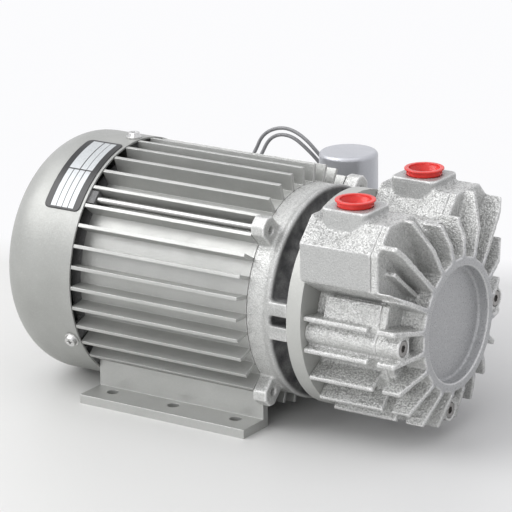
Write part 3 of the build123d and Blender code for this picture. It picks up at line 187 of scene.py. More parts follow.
class Graph:
    """Short calls that add nodes to one node tree and join them."""

    def __init__(self, tree: bpy.types.NodeTree) -> None:
        """Keep the tree that the calls add to."""
        self.tree = tree

    def put(self, socket: Socket, value: object) -> None:
        """Join a socket to an output, or set its constant.

        Args:
            socket: input to fill.
            value: output socket or constant.
        """
        if isinstance(value, Socket):
            self.tree.links.new(value, socket)
        else:
            socket.default_value = value

    def add(self, kind: str, inputs: dict | None = None, **settings: object) -> bpy.types.Node:
        """Add a node, with its settings and its inputs by name or number.

        Args:
            kind: type of the node.
            inputs: what goes into its inputs.
            settings: its properties by name.

        Returns:
            The node.
        """
        node = self.tree.nodes.new(kind)
        for key, value in settings.items():
            setattr(node, key, value)
        for key, value in (inputs or {}).items():
            self.put(node.inputs[key], value)
        return node

    def math(self, operation: str, *values: object, clamp: bool = False) -> Socket:
        """Output of a Math node."""
        inputs = dict(enumerate(values))
        return self.add("ShaderNodeMath", inputs, operation=operation, use_clamp=clamp).outputs[0]

    def plus(self, one: object, other: object) -> Socket:
        """Sum of two values."""
        return self.math("ADD", one, other)

    def minus(self, one: object, other: object) -> Socket:
        """First value less the second."""
        return self.math("SUBTRACT", one, other)

    def times(self, one: object, other: object) -> Socket:
        """Product of two values."""
        return self.math("MULTIPLY", one, other)

    def vector(self, operation: str, *values: object, output: int = 0) -> Socket:
        """Output of a Vector Math node."""
        inputs = dict(enumerate(values))
        return self.add("ShaderNodeVectorMath", inputs, operation=operation).outputs[output]

    def join(self, x: object, y: object, z: object) -> Socket:
        """Vector of three values."""
        return self.add("ShaderNodeCombineXYZ", {0: x, 1: y, 2: z}).outputs[0]

    def split(self, vector: object) -> list[Socket]:
        """X, Y and Z of a vector."""
        return list(self.add("ShaderNodeSeparateXYZ", {0: vector}).outputs)

    def scale(self, vector: object, factor: object) -> Socket:
        """Vector times one value."""
        return self.vector("MULTIPLY", vector, self.join(factor, factor, factor))

    def mix(self, factor: object, low: object, high: object) -> Socket:
        """Colour between low and high."""
        inputs = {0: factor, 6: low, 7: high}
        return self.add("ShaderNodeMix", inputs, data_type="RGBA", clamp_factor=True).outputs[2]

    def tint(self, colour: object, over: object, mask: object, share: float) -> Socket:
        """Colour with another laid over it, as thick as the mask times the share."""
        return self.mix(self.times(mask, share), colour, over)

    def span(self, value: object, low: float, high: float, start: float = 0.0, end: float = 1.0) -> Socket:
        """Value mapped from low..high to start..end, held at both ends."""
        inputs = {0: value, 1: low, 2: high, 3: start, 4: end}
        return self.add("ShaderNodeMapRange", inputs, clamp=True).outputs[0]

    def ramp(self, share: object, start: float, end: float) -> Socket:
        """Share from 0 to 1, mapped to start..end."""
        return self.span(share, 0.0, 1.0, start, end)

    def swing(self, noise: object, start: float = 0.0, end: float = 1.0) -> Socket:
        """Noise mapped to start..end from the range that holds nearly all of it."""
        return self.span(noise, *NOISE_RANGE, start, end)

    def noise(self, vector: object, scale: float, detail: float = 3.0, roughness: float = 0.5) -> Socket:
        """Value of a Noise texture."""
        inputs = {"Vector": vector, "Scale": scale, "Detail": detail, "Roughness": roughness}
        return self.add("ShaderNodeTexNoise", inputs).outputs[0]

    def cells(self, vector: object, scale: float) -> Socket:
        """Random colour of each cell of a Voronoi texture."""
        return self.add("ShaderNodeTexVoronoi", {"Vector": vector, "Scale": scale}).outputs["Color"]

    def geometry(self, output: str = "Normal") -> Socket:
        """Output of the Geometry node."""
        return self.add("ShaderNodeNewGeometry").outputs[output]

    def upward(self) -> Socket:
        """Height of the normal: 1 on a level top, 0 on an upright face."""
        return self.split(self.geometry())[2]

    def from_line(self, place: object, height: float) -> tuple[Socket, Socket]:
        """X of a place, and its distance sqrt(y^2 + (z - height)^2) from the line along X at that height.

        Args:
            place: the place.
            height: height of the line.

        Returns:
            X and the distance.
        """
        x, y, z = self.split(place)
        square = self.plus(self.math("POWER", y, 2.0), self.math("POWER", self.minus(z, height), 2.0))
        return x, self.math("SQRT", square)


class Effects:
    """Shared surface effects, each a node group that is built once."""

    def __init__(self) -> None:
        """Build every group, with its inputs; a vector input has no default."""
        self.groups: dict[str, bpy.types.NodeTree] = {}
        self.build(self.cast_grain, {"Vector": None, "Grain": 900.0})
        self.build(self.paint_flake, {"Vector": None, "Density": 4000.0, "Lean": 0.1})
        self.build(self.worn_edge, {"Radius": 0.0006, "Strength": 6.0})
        self.build(self.ridge_highlight_corner_shade, {"Reach": 0.05})
        self.build(self.settled_dust, {"Vector": None, "Amount": 0.2})
        self.build(self.fine_scratch, {"Vector": None, "Density": 3000.0})
        self.build(self.turned_marks, {"Vector": None, "Pitch": 0.0004})

    def build(self, effect: Callable[[Graph, Sockets], Sockets], inputs: dict[str, float | None]) -> None:
        """Build the group of one effect, named like its method.

        Args:
            effect: adds the nodes, from the graph and its input sockets, and returns the outputs by name.
            inputs: default value of each input.
        """
        tree = bpy.data.node_groups.new(effect.__name__, "ShaderNodeTree")

        def declare(name: str, side: str) -> bpy.types.NodeTreeInterfaceSocket:
            """Add a socket to the group's interface, of a type that follows from its name."""
            kind = "NodeSocketVector" if name in ("Vector", "Normal") else "NodeSocketFloat"
            return tree.interface.new_socket(name=name, in_out=side, socket_type=kind)

        for name, value in inputs.items():
            socket = declare(name, "INPUT")
            if value is not None:
                socket.default_value = value
        graph = Graph(tree)
        entry = graph.add("NodeGroupInput")
        outputs = effect(graph, {name: entry.outputs[name] for name in inputs})
        for name in outputs:
            declare(name, "OUTPUT")
        graph.add("NodeGroupOutput", outputs)
        self.groups[effect.__name__] = tree

    def cast_grain(self, graph: Graph, given: Sockets) -> Sockets:
        """Sand casting under paint: pebbles of Grain per metre over broad lumps, with a mask of raised glints
        that the finishes paint in as highlights.
        """
        place = graph.scale(given["Vector"], given["Grain"])
        inputs = {"Vector": place, "Scale": 1.0, "Smoothness": 0.6}
        pebble = graph.add("ShaderNodeTexVoronoi", inputs, feature="SMOOTH_F1").outputs["Distance"]
        fine = graph.noise(place, scale=1.6, roughness=0.65)
        broad = graph.noise(place, scale=0.22, detail=2.0)
        height = graph.plus(graph.times(pebble, -0.75), graph.times(fine, 0.8))
        height = graph.plus(height, graph.times(broad, 0.35))
        chance = graph.split(graph.cells(place, 1.9))[0]
        return {"Height": height, "Glint": graph.span(chance, 0.62, 0.95)}

    def paint_flake(self, graph: Graph, given: Sockets) -> Sockets:
        """Metal flakes in paint: each cell of Density per metre leans its normal by up to Lean, and gives a
        glint mask that the finishes paint in as highlights.
        """
        colour = graph.cells(graph.scale(given["Vector"], given["Density"]), 1.0)
        lean = graph.scale(graph.vector("SUBTRACT", colour, (0.5, 0.5, 0.5)), given["Lean"])
        normal = graph.vector("NORMALIZE", graph.vector("ADD", graph.geometry(), lean))
        return {"Normal": normal, "Glint": graph.span(graph.split(colour)[1], 0.8, 1.0)}

    def worn_edge(self, graph: Graph, given: Sockets) -> Sockets:
        """Edges within Radius: how far the rounded normal leans from the face's own, times Strength."""
        rounded = graph.add("ShaderNodeBevel", {"Radius": given["Radius"]}, samples=4).outputs[0]
        agree = graph.vector("DOT_PRODUCT", rounded, graph.geometry(), output=1)
        mask = graph.math("MULTIPLY", graph.minus(1.0, agree), given["Strength"], clamp=True)
        return {"Mask": mask, "Normal": rounded}

    def ridge_highlight_corner_shade(self, graph: Graph, given: Sockets) -> Sockets:
        """Masks for a painted highlight on ridges and painted shade in inner corners of a dense skin, where
        its pointiness is off a flat face's by Reach.
        """
        lean = graph.math("DIVIDE", graph.minus(graph.geometry("Pointiness"), 0.5), given["Reach"])
        return {"RidgeHighlight": graph.span(lean, 0.3, 1.1), "CornerShade": graph.span(lean, -0.3, -1.1)}

    def settled_dust(self, graph: Graph, given: Sockets) -> Sockets:
        """Dust on upward faces: the normal's height times a cloudy pattern, times Amount."""
        upward = graph.span(graph.upward(), 0.2, 1.0)
        cloud = graph.noise(given["Vector"], scale=60.0, detail=5.0, roughness=0.65)
        mask = graph.times(upward, graph.span(cloud, 0.35, 0.75))
        return {"Mask": graph.math("MULTIPLY", mask, given["Amount"], clamp=True)}

    def fine_scratch(self, graph: Graph, given: Sockets) -> Sockets:
        """Brush marks along X: noise of Density per metre across them, a thirtieth of it along them."""
        slow = graph.math("DIVIDE", given["Density"], 30.0)
        squeeze = graph.join(slow, given["Density"], given["Density"])
        place = graph.vector("MULTIPLY", given["Vector"], squeeze)
        return {"Height": graph.noise(place, scale=1.0, detail=4.0, roughness=0.6)}

    def turned_marks(self, graph: Graph, given: Sockets) -> Sockets:
        """Lathe marks round the shaft: a wave, Pitch apart, of the distance from it, uneven in depth."""
        x, radius = graph.from_line(given["Vector"], SHAFT_HEIGHT)
        turns = graph.plus(graph.math("DIVIDE", radius, given["Pitch"]), graph.times(x, 900.0))
        wave = graph.math("SINE", graph.times(turns, math.tau))
        uneven = graph.noise(graph.join(turns, 0.0, 0.0), scale=0.7, detail=2.0)
        return {"Height": graph.times(wave, uneven)}


class Coat:
    """A material while it is made: its graph, its place on the object and its shader."""

    def __init__(self, name: str, effects: Effects | None = None) -> None:
        """Start the material with its Principled shader and Object coordinates.

        Args:
            name: name of the material.
            effects: shared effects, if it uses any.
        """
        self.effects = effects
        self.material = bpy.data.materials.new(name)
        self.material.use_nodes = True
        self.graph = Graph(self.material.node_tree)
        self.shader = self.material.node_tree.nodes["Principled BSDF"]
        self.place = self.graph.add("ShaderNodeTexCoord").outputs["Object"]

    def effect(self, name: str, **values: object) -> bpy.types.NodeOutputs:
        """Place an effect group and return its outputs; its Vector is the place on the object.

        Args:
            name: name of the effect.
            values: its other inputs by name.

        Returns:
            The outputs.
        """
        node = self.graph.add("ShaderNodeGroup", node_tree=self.effects.groups[name])
        if "Vector" in node.inputs:
            self.graph.put(node.inputs["Vector"], self.place)
        for key, value in values.items():
            self.graph.put(node.inputs[key], value)
        return node.outputs

    def set(self, **values: object) -> None:
        """Set the shader's sockets; an underscore stands for a space."""
        for key, value in values.items():
            self.graph.put(self.shader.inputs[key.replace("_", " ")], value)

    def bump(self, height: object, depth: float, normal: object = None) -> None:
        """Feed a height of that depth in metres to the shader's normal.

        Args:
            height: relief, about 0 to 1.
            depth: how deep a relief of 1 is.
            normal: normal under the relief.
        """
        inputs = {"Height": height, "Strength": 1.0, "Distance": depth}
        if normal is not None:
            inputs["Normal"] = normal
        self.set(Normal=self.graph.add("ShaderNodeBump", inputs).outputs[0])


# Finishes


@dataclass(frozen=True)
class Finish:
    """A procedural material of one name."""

    name: str

    def build(self, effects: Effects) -> bpy.types.Material:
        """Make the material.

        Args:
            effects: the shared effects.

        Returns:
            The material.
        """
        coat = Coat(self.name, effects)
        self.lay(coat, coat.graph)
        return coat.material

    def lay(self, coat: Coat, graph: Graph) -> None:
        """Lay the finish's layers, from the ground up.

        Args:
            coat: the material while it is made.
            graph: its graph.
        """
        raise NotImplementedError


@dataclass(frozen=True)
class SilverPaint(Finish):
    """Smooth silver paint with metal flakes, their glints painted in as highlights: orange peel, lighter worn
    edges, a little settled dust.
    """

    colour: Colour = (0.50, 0.505, 0.49, 1.0)
    edge_colour: Colour = (0.72, 0.72, 0.71, 1.0)
    dust_colour: Colour = (0.60, 0.59, 0.57, 1.0)
    roughness: float = 0.42
    metallic: float = 0.55
    cloud_depth: float = 0.02
    flake_glint_share: float = 0.12
    edge_share: float = 0.7
    dust: float = 0.15
    peel_depth: float = 0.04 * MM

    def lay(self, coat: Coat, graph: Graph) -> None:
        """Cloudy tone, painted highlights of flake glints, worn edges, then dust."""
        edge = coat.effect("worn_edge", Radius=0.6 * MM, Strength=3.0)
        flake = coat.effect("paint_flake", Density=3800.0, Lean=0.16)
        dust = coat.effect("settled_dust", Amount=self.dust)
        patches = graph.noise(coat.place, scale=45.0, detail=4.0)
        cloud = graph.swing(patches, -self.cloud_depth, self.cloud_depth)
        tone = graph.vector("ADD", self.colour[:3], graph.join(cloud, cloud, cloud))
        # painted highlight: flake glints lighten the colour
        colour = graph.tint(tone, grey(0.9), flake["Glint"], self.flake_glint_share)
        colour = graph.tint(colour, self.edge_colour, edge["Mask"], self.edge_share)
        colour = graph.mix(dust["Mask"], colour, self.dust_colour)
        rough = graph.noise(coat.place, scale=120.0)
        rough = graph.swing(rough, self.roughness - 0.04, self.roughness + 0.05)
        coat.set(Base_Color=colour, Roughness=rough, Metallic=self.metallic)
        lean = graph.vector("SUBTRACT", flake["Normal"], graph.geometry())
        normal = graph.vector("NORMALIZE", graph.vector("ADD", edge["Normal"], lean))
        coat.bump(graph.noise(coat.place, scale=700.0, detail=2.0), self.peel_depth, normal)


@dataclass(frozen=True)
class SilverCasting(Finish):
    """Silver paint over a sand casting: pebbled, painted shade in pits and inner corners, painted glints and
    ridge highlights, smooth cut faces.
    """

    colour: Colour = (0.61, 0.615, 0.60, 1.0)
    # colour of the painted shade in pits
    pit_shade_colour: Colour = (0.24, 0.24, 0.235, 1.0)
    # edge_colour here is the painted highlight laid along ridges
    edge_colour: Colour = (0.85, 0.85, 0.84, 1.0)
    # painted shade in inner corners
    corner_shade_colour: Colour = (0.12, 0.12, 0.12, 1.0)
    cut_colour: Colour = (0.42, 0.425, 0.435, 1.0)
    # colour of the bare neck, darkened with painted shade
    bare_shade_colour: Colour = (0.045, 0.045, 0.048, 1.0)
    grain: float = 900.0
    depth: float = 0.58 * MM
    cut_relief: float = 0.14
    roughness: float = 0.33
    metallic: float = 0.42
    pit_shade_upright: float = 0.36
    pit_shade_upward: float = 0.75
    glint_share: float = 0.35
    cut_glint_share: float = 0.25
    ridge_highlight_share: float = 0.75
    corner_shade_share: float = 0.25

    def cut(self, coat: Coat, graph: Graph) -> object:
        """Share that is machined smooth."""
        return 0.0

    def bare_and_shaded(self, coat: Coat, graph: Graph) -> object:
        """Share that no paint reached, darkened further with painted shade."""
        return 0.0

    def lay(self, coat: Coat, graph: Graph) -> None:
        """Painted shade in pits, deeper on upward faces, painted glints, cut faces, painted highlight on
        ridges and painted shade in corners, then the bare casting darkened with painted shade.
        """
        cut = self.cut(coat, graph)
        bare_shade = self.bare_and_shaded(coat, graph)
        ridge = coat.effect("ridge_highlight_corner_shade")
        cast = coat.effect("cast_grain", Grain=self.grain)
        flake = coat.effect("paint_flake", Density=2600.0, Lean=0.1)
        # painted shade in the pits, stronger on upward faces where the top light falls
        pit_shade_by_facing = graph.span(graph.upward(), 0.1, 0.6, self.pit_shade_upright, self.pit_shade_upward)
        pit_shade = graph.times(graph.span(cast["Height"], 0.3, 0.08), pit_shade_by_facing)
        colour = graph.mix(pit_shade, self.colour, self.pit_shade_colour)
        # painted highlight: glints lighten the colour
        colour = graph.tint(colour, grey(0.9), cast["Glint"], self.glint_share)
        # painted highlight: flake glints on cut faces
        smooth = graph.tint(self.cut_colour, grey(0.8), flake["Glint"], self.cut_glint_share)
        colour = graph.mix(cut, colour, smooth)
        # painted highlight along ridges
        colour = graph.tint(colour, self.edge_colour, ridge["RidgeHighlight"], self.ridge_highlight_share)
        # painted shade in inner corners
        colour = graph.tint(colour, self.corner_shade_colour, ridge["CornerShade"], self.corner_shade_share)
        # bare neck, darkened with painted shade
        colour = graph.mix(bare_shade, colour, self.bare_shade_colour)
        rough = graph.ramp(cast["Glint"], self.roughness + 0.1, self.roughness - 0.08)
        rough = graph.plus(rough, graph.times(bare_shade, 0.4))
        coat.set(Base_Color=colour, Roughness=rough, Metallic=graph.ramp(bare_shade, self.metallic, 0.0))
        relief = graph.ramp(cut, 1.0, self.cut_relief)
        coat.bump(graph.times(cast["Height"], relief), self.depth)


@dataclass(frozen=True)
class CylinderCasting(SilverCasting):
    """The cylinder's casting: port bosses cut flat, upright sides of the blocks smooth from the mould."""

    cut_colour: Colour = (0.4, 0.405, 0.4, 1.0)
    boss_top: float = 137.05 * MM
    block_foot: float = 92.0 * MM
    side_share: float = 0.75

    def cut(self, coat: Coat, graph: Graph) -> Socket:
        """Above the boss tops, less a little, and in part on upright faces above the blocks' feet."""
        height = graph.split(coat.place)[2]
        top = graph.span(height, self.boss_top - 0.35 * MM, self.boss_top - 0.15 * MM)
        lean = graph.math("ABSOLUTE", graph.upward())
        above = graph.span(height, self.block_foot, self.block_foot + 3.0 * MM)
        side = graph.times(graph.span(lean, 0.4, 0.2), above)
        return graph.math("MAXIMUM", top, graph.times(side, self.side_share))


@dataclass(frozen=True)
class CoverCasting(SilverCasting):
    """The front cover's casting, smooth on its face and in its recess."""

    face: float = 157.0 * MM
    bore_height: float = 66.0 * MM
    recess_radius: float = 32.9 * MM
    cut_share: float = 0.85

    def cut(self, coat: Coat, graph: Graph) -> Socket:
        """On the face, or nearer to the bore's line than the recess wall."""
        x, radius = graph.from_line(coat.place, self.bore_height)
        within = graph.span(radius, self.recess_radius, self.recess_radius + 1.2 * MM, 1.0, 0.0)
        on_face = graph.span(x, self.face - 0.9 * MM, self.face - 0.4 * MM)
        return graph.times(graph.math("MAXIMUM", within, on_face), self.cut_share)


@dataclass(frozen=True)
class ShieldCasting(SilverCasting):
    """The end shield's casting, bare down in the neck behind the pump and darkened there with painted shade.
    """

    ridge_end: float = 72.0 * MM
    painted_radius: float = 59.4 * MM

    def bare_and_shaded(self, coat: Coat, graph: Graph) -> Socket:
        """Beyond the ridge and nearer to the shaft than the painted rim, where the bare casting is darkened
        with painted shade.
        """
        x, radius = graph.from_line(coat.place, SHAFT_HEIGHT)
        deep = graph.span(radius, self.painted_radius - 0.9 * MM, self.painted_radius + 2.6 * MM, 1.0, 0.0)
        beyond = graph.span(x, self.ridge_end - 6.5 * MM, self.ridge_end - 0.5 * MM)
        cloud = graph.swing(graph.noise(coat.place, scale=120.0), 0.7, 1.0)
        return graph.times(graph.times(deep, beyond), cloud)


@dataclass(frozen=True)
class TurnedMetal(Finish):
    """Bare metal with lathe marks round the shaft line."""

    colour: Colour = (0.62, 0.62, 0.60, 1.0)
    pitch: float = 0.5 * MM
    depth: float = 0.03 * MM
    roughness: float = 0.3
    metallic: float = 0.9

    def lay(self, coat: Coat, graph: Graph) -> None:
        """Stained metal, worn edges, then the marks."""
        edge = coat.effect("worn_edge", Radius=0.4 * MM, Strength=3.0)
        marks = coat.effect("turned_marks", Pitch=self.pitch)
        stain = graph.span(graph.noise(coat.place, scale=70.0, detail=4.0), 0.35, 0.75)
        colour = graph.tint(self.colour, grey(0.35), stain, 0.25)
        colour = graph.tint(colour, grey(0.85), edge["Mask"], 0.5)
        rough = graph.span(marks["Height"], -0.5, 0.5, self.roughness - 0.05, self.roughness + 0.08)
        coat.set(Base_Color=colour, Roughness=rough, Metallic=self.metallic)
        coat.bump(marks["Height"], self.depth, edge["Normal"])


@dataclass(frozen=True)
class BrushedMetal(Finish):
    """Plated or ground metal with fine marks along X and lighter edges."""

    colour: Colour = (0.66, 0.66, 0.65, 1.0)
    stain_colour: Colour = (0.33, 0.32, 0.31, 1.0)
    density: float = 5000.0
    depth: float = 0.01 * MM
    roughness: float = 0.25
    metallic: float = 0.95

    def lay(self, coat: Coat, graph: Graph) -> None:
        """Stained metal, worn edges, then the marks."""
        edge = coat.effect("worn_edge", Radius=0.3 * MM, Strength=3.0)
        marks = coat.effect("fine_scratch", Density=self.density)
        stain = graph.span(graph.noise(coat.place, scale=160.0, detail=4.0), 0.4, 0.8)
        colour = graph.tint(self.colour, self.stain_colour, stain, 0.3)
        colour = graph.tint(colour, grey(0.88), edge["Mask"], 0.5)
        rough = graph.swing(marks["Height"], self.roughness - 0.05, self.roughness + 0.1)
        coat.set(Base_Color=colour, Roughness=rough, Metallic=self.metallic)
        coat.bump(marks["Height"], self.depth, edge["Normal"])


@dataclass(frozen=True)
class Moulding(Finish):
    """Moulded plastic, rubber or carbon: fine grain, cloudy tone, paler rubbed edges."""

    colour: Colour
    edge_colour: Colour
    roughness: float = 0.4
    grain: float = 2500.0
    depth: float = 0.02 * MM
    see_into: float = 0.0

    def lay(self, coat: Coat, graph: Graph) -> None:
        """Cloudy tone, rubbed edges, dust, then the grain."""
        edge = coat.effect("worn_edge", Radius=0.4 * MM, Strength=2.5)
        dust = coat.effect("settled_dust", Amount=0.12)
        shade = tuple(0.8 * level for level in self.colour[:3]) + (1.0,)
        colour = graph.mix(graph.swing(graph.noise(coat.place, scale=90.0)), shade, self.colour)
        colour = graph.tint(colour, self.edge_colour, edge["Mask"], 0.6)
        colour = graph.mix(dust["Mask"], colour, grey(0.5))
        grain = graph.noise(coat.place, self.grain)
        rough = graph.swing(grain, self.roughness - 0.05, self.roughness + 0.08)
        coat.set(Base_Color=colour, Roughness=rough)
        coat.set(Subsurface_Weight=self.see_into, Subsurface_Scale=2.0 * MM)
        coat.bump(grain, self.depth, edge["Normal"])


@dataclass(frozen=True)
class Lamination(Finish):
    """Stacked sheet steel: thin dark lines square to X, a little rust in them."""

    sheet: float = 0.5 * MM

    def lay(self, coat: Coat, graph: Graph) -> None:
        """Sheets, the lines between them, then rust."""
        along = graph.split(coat.place)[0]
        wave = graph.math("SINE", graph.times(along, math.tau / self.sheet))
        line = graph.span(wave, 0.5, 1.0)
        rust = graph.span(graph.noise(coat.place, scale=150.0, detail=4.0), 0.5, 0.8)
        colour = graph.tint(grey(0.3), grey(0.08), line, 0.6)
        colour = graph.tint(colour, (0.22, 0.10, 0.05, 1.0), rust, 0.5)
        coat.set(Base_Color=colour, Roughness=graph.ramp(rust, 0.4, 0.75), Metallic=0.8)
        coat.bump(graph.times(line, -1.0), 0.03 * MM)


@dataclass(frozen=True)
class Winding(Finish):
    """Enamelled wire bundle: round strands along the turn, under varnish."""

    strand: float = 0.8 * MM
    gap_colour: Colour = (0.10, 0.03, 0.01, 1.0)
    wire_colour: Colour = (0.55, 0.20, 0.07, 1.0)

    def lay(self, coat: Coat, graph: Graph) -> None:
        """Strands side by side, which waver a little, then varnish."""
        x, radius = graph.from_line(coat.place, SHAFT_HEIGHT)
        waver = graph.times(graph.noise(coat.place, scale=80.0, detail=2.0), 4.0 * MM)
        across = graph.plus(graph.plus(radius, x), waver)
        wave = graph.math("SINE", graph.times(across, math.pi / self.strand))
        strand = graph.math("ABSOLUTE", wave)
        colour = graph.mix(strand, self.gap_colour, self.wire_colour)
        rough = graph.ramp(strand, 0.5, 0.25)
        coat.set(Base_Color=colour, Roughness=rough, Metallic=0.6, Coat_Weight=0.5)
        coat.bump(strand, 0.3 * MM)


@dataclass(frozen=True)
class NameplatePrint(Finish):
    """Printed metal plate: black ground, ruled pale panels in two columns, no lettering.

    A column or row is its middle and its half width, in millimetres from the plate's middle.
    """

    upper_column: Pair = (-12.9, 13.1)
    upper_rows: tuple[Pair, ...] = ((-4.4, 3.6), (1.9, 2.0), (6.2, 1.9))
    lower_column: Pair = (13.7, 12.6)
    lower_rows: tuple[Pair, ...] = ((-6.1, 1.75), (-2.05, 1.75), (2.0, 1.75), (6.1, 1.75))
    soft_edge: float = 0.12
    panel_colour: Colour = (0.52, 0.54, 0.55, 1.0)

    def band(self, graph: Graph, value: Socket, middle: float, half: float) -> Socket:
        """Mask of the values within a half width of a middle."""
        away = graph.math("ABSOLUTE", graph.minus(value, middle * MM))
        return graph.span(away, (half - self.soft_edge) * MM, (half + self.soft_edge) * MM, 1.0, 0.0)

    def lay(self, coat: Coat, graph: Graph) -> None:
        """Panels on the black ground, by the plate's flat coordinates in metres."""
        along, across, _ = graph.split(graph.add("ShaderNodeUVMap", uv_map="flat").outputs[0])
        panels = 0.0
        for column, rows in ((self.upper_column, self.upper_rows), (self.lower_column, self.lower_rows)):
            for row in rows:
                panel = graph.times(self.band(graph, along, *column), self.band(graph, across, *row))
                panels = graph.math("MAXIMUM", panels, panel)
        wear = graph.span(graph.noise(coat.place, scale=900.0), 0.25, 0.5, 0.82, 1.0)
        colour = graph.mix(graph.times(panels, wear), grey(0.015), self.panel_colour)
        rough = graph.ramp(panels, 0.32, 0.42)
        coat.set(Base_Color=colour, Roughness=rough, Metallic=graph.times(panels, 0.35))
        coat.bump(panels, 0.02 * MM)


class Finishes:
    """Every finish of the pump, by the maker's name for it."""

    def __init__(self, effects: Effects) -> None:
        """Build them all.

        Args:
            effects: the shared effects.
        """
        self.made: dict[str, bpy.types.Material] = {}
        silver, red = (0.44, 0.445, 0.43, 1.0), (0.78, 0.03, 0.022, 1.0)
        for finish in (
            SilverPaint("paint_fan_cover", colour=(0.345, 0.35, 0.335, 1.0), roughness=0.45, metallic=0.4),
            SilverPaint("paint_motor_frame", colour=silver, peel_depth=0.06 * MM),
            SilverPaint("paint_terminal_box", colour=silver),
            SilverPaint("paint_side_plate", colour=(0.45, 0.455, 0.435, 1.0), roughness=0.5, metallic=0.3),
            SilverPaint("paint_capacitor", colour=(0.50, 0.51, 0.54, 1.0), roughness=0.36),
            SilverPaint("paint_strap", colour=(0.46, 0.46, 0.45, 1.0), roughness=0.46),
            # rear shield in near black: painted shade under the fan cover; its third colour is the painted
            # ridge highlight
            SilverCasting(
                "rear_shield_painted_shade", grey(0.09), grey(0.05), grey(0.16),
                grain=1500.0, depth=0.14 * MM, roughness=0.6, metallic=0.2,
            ),
            ShieldCasting(
                "casting_end_shield", (0.54, 0.545, 0.53, 1.0),
                grain=1100.0, depth=0.2 * MM, pit_shade_upright=0.25, pit_shade_upward=0.45,
            ),
            CylinderCasting("casting_cylinder"),
            CoverCasting("casting_front_cover"),
            TurnedMetal("turned_shaft", colour=grey(0.5), pitch=0.3 * MM, roughness=0.22),
            TurnedMetal("turned_pump_rotor", colour=(0.55, 0.55, 0.54, 1.0), pitch=0.4 * MM, roughness=0.28),
            BrushedMetal("zinc_screws"),
            BrushedMetal("zinc_rods", colour=(0.42, 0.42, 0.41, 1.0), density=7000.0),
            BrushedMetal("spring_steel", colour=(0.36, 0.35, 0.34, 1.0), roughness=0.35),
            BrushedMetal("ground_bearing_steel", colour=grey(0.68), roughness=0.12),
            BrushedMetal("pressed_cage_steel", colour=(0.55, 0.55, 0.53, 1.0), roughness=0.3),
            Moulding("red_plug_plastic", red, (0.95, 0.16, 0.12, 1.0), 0.3, see_into=0.08),
            Moulding("black_plastic", grey(0.02), grey(0.07), 0.42),
            Moulding("grey_fan_plastic", grey(0.05), grey(0.12), 0.45),
            Moulding("black_rubber", grey(0.012), grey(0.05), 0.65, grain=1500.0, depth=0.04 * MM),
            Moulding("gasket_rubber", grey(0.03), grey(0.08), 0.7, grain=1800.0, depth=0.03 * MM),
            Moulding("vane_carbon", grey(0.028), grey(0.09), 0.5, grain=4000.0),
            Moulding("lead_sleeve", (0.27, 0.27, 0.28, 1.0), grey(0.42), 0.42, grain=5000.0),
            Lamination("laminated_core"),
            Winding("varnished_winding"),
            NameplatePrint("nameplate_print"),
        ):
            self.made[finish.name] = finish.build(effects)

    def dress(self, piece: bpy.types.Object, name: str) -> None:
        """Give a finish to every slot of a piece.

        Args:
            piece: the piece.
            name: name of the finish.
        """
        if not piece.data.materials:
            piece.data.materials.append(self.made[name])
        for slot in piece.material_slots:
            slot.material = self.made[name]


# Sub-assemblies


@dataclass
class Nameplate:
    """Curved plate near the top of the fan cover, bare of lettering, beside the cover's rim."""

    half_length: float = 27.8 * MM
    half_width: float = 12.3 * MM
    corner: float = 3.2 * MM
    middle_x: float = -70.8 * MM
    middle_angle: float = 121.9
    cover_radius: float = 70.9 * MM
    thickness: float = 0.45 * MM

    def build(self, finishes: Finishes) -> bpy.types.Object:
        """Shrunken copies of a rounded outline make the face, the rim and the back.

        The flat point (a, b) goes to x = middle + b and to the angle middle + a / radius on the cover.

        Args:
            finishes: every finish, by name.

        Returns:
            The plate.
        """
        outline = rounded_outline(self.half_length, self.half_width, self.corner, 240)
        face, back = np.linspace(0.04, 0.96, 12), np.linspace(0.9, 0.1, 9)
        shares = np.concatenate([face, [0.985, 1.0, 1.0, 0.96], back])
        heights = np.concatenate([np.ones(13), [0.75, 0.0], np.full(10, -0.3)]) * self.thickness
        flat = shares[:, None, None] * outline[None, :, :]
        angle = np.radians(self.middle_angle) + flat[..., 0] / self.cover_radius
        radius = self.cover_radius + heights[:, None]
        across, above = radius * np.cos(angle), SHAFT_HEIGHT + radius * np.sin(angle)
        rings = np.stack([self.middle_x + flat[..., 1], across, above], axis=-1)
        plate = ringed("nameplate", rings[::-1], flat[::-1])
        finishes.dress(plate, "nameplate_print")
        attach(plate, Body.HOUSING.value)
        return plate


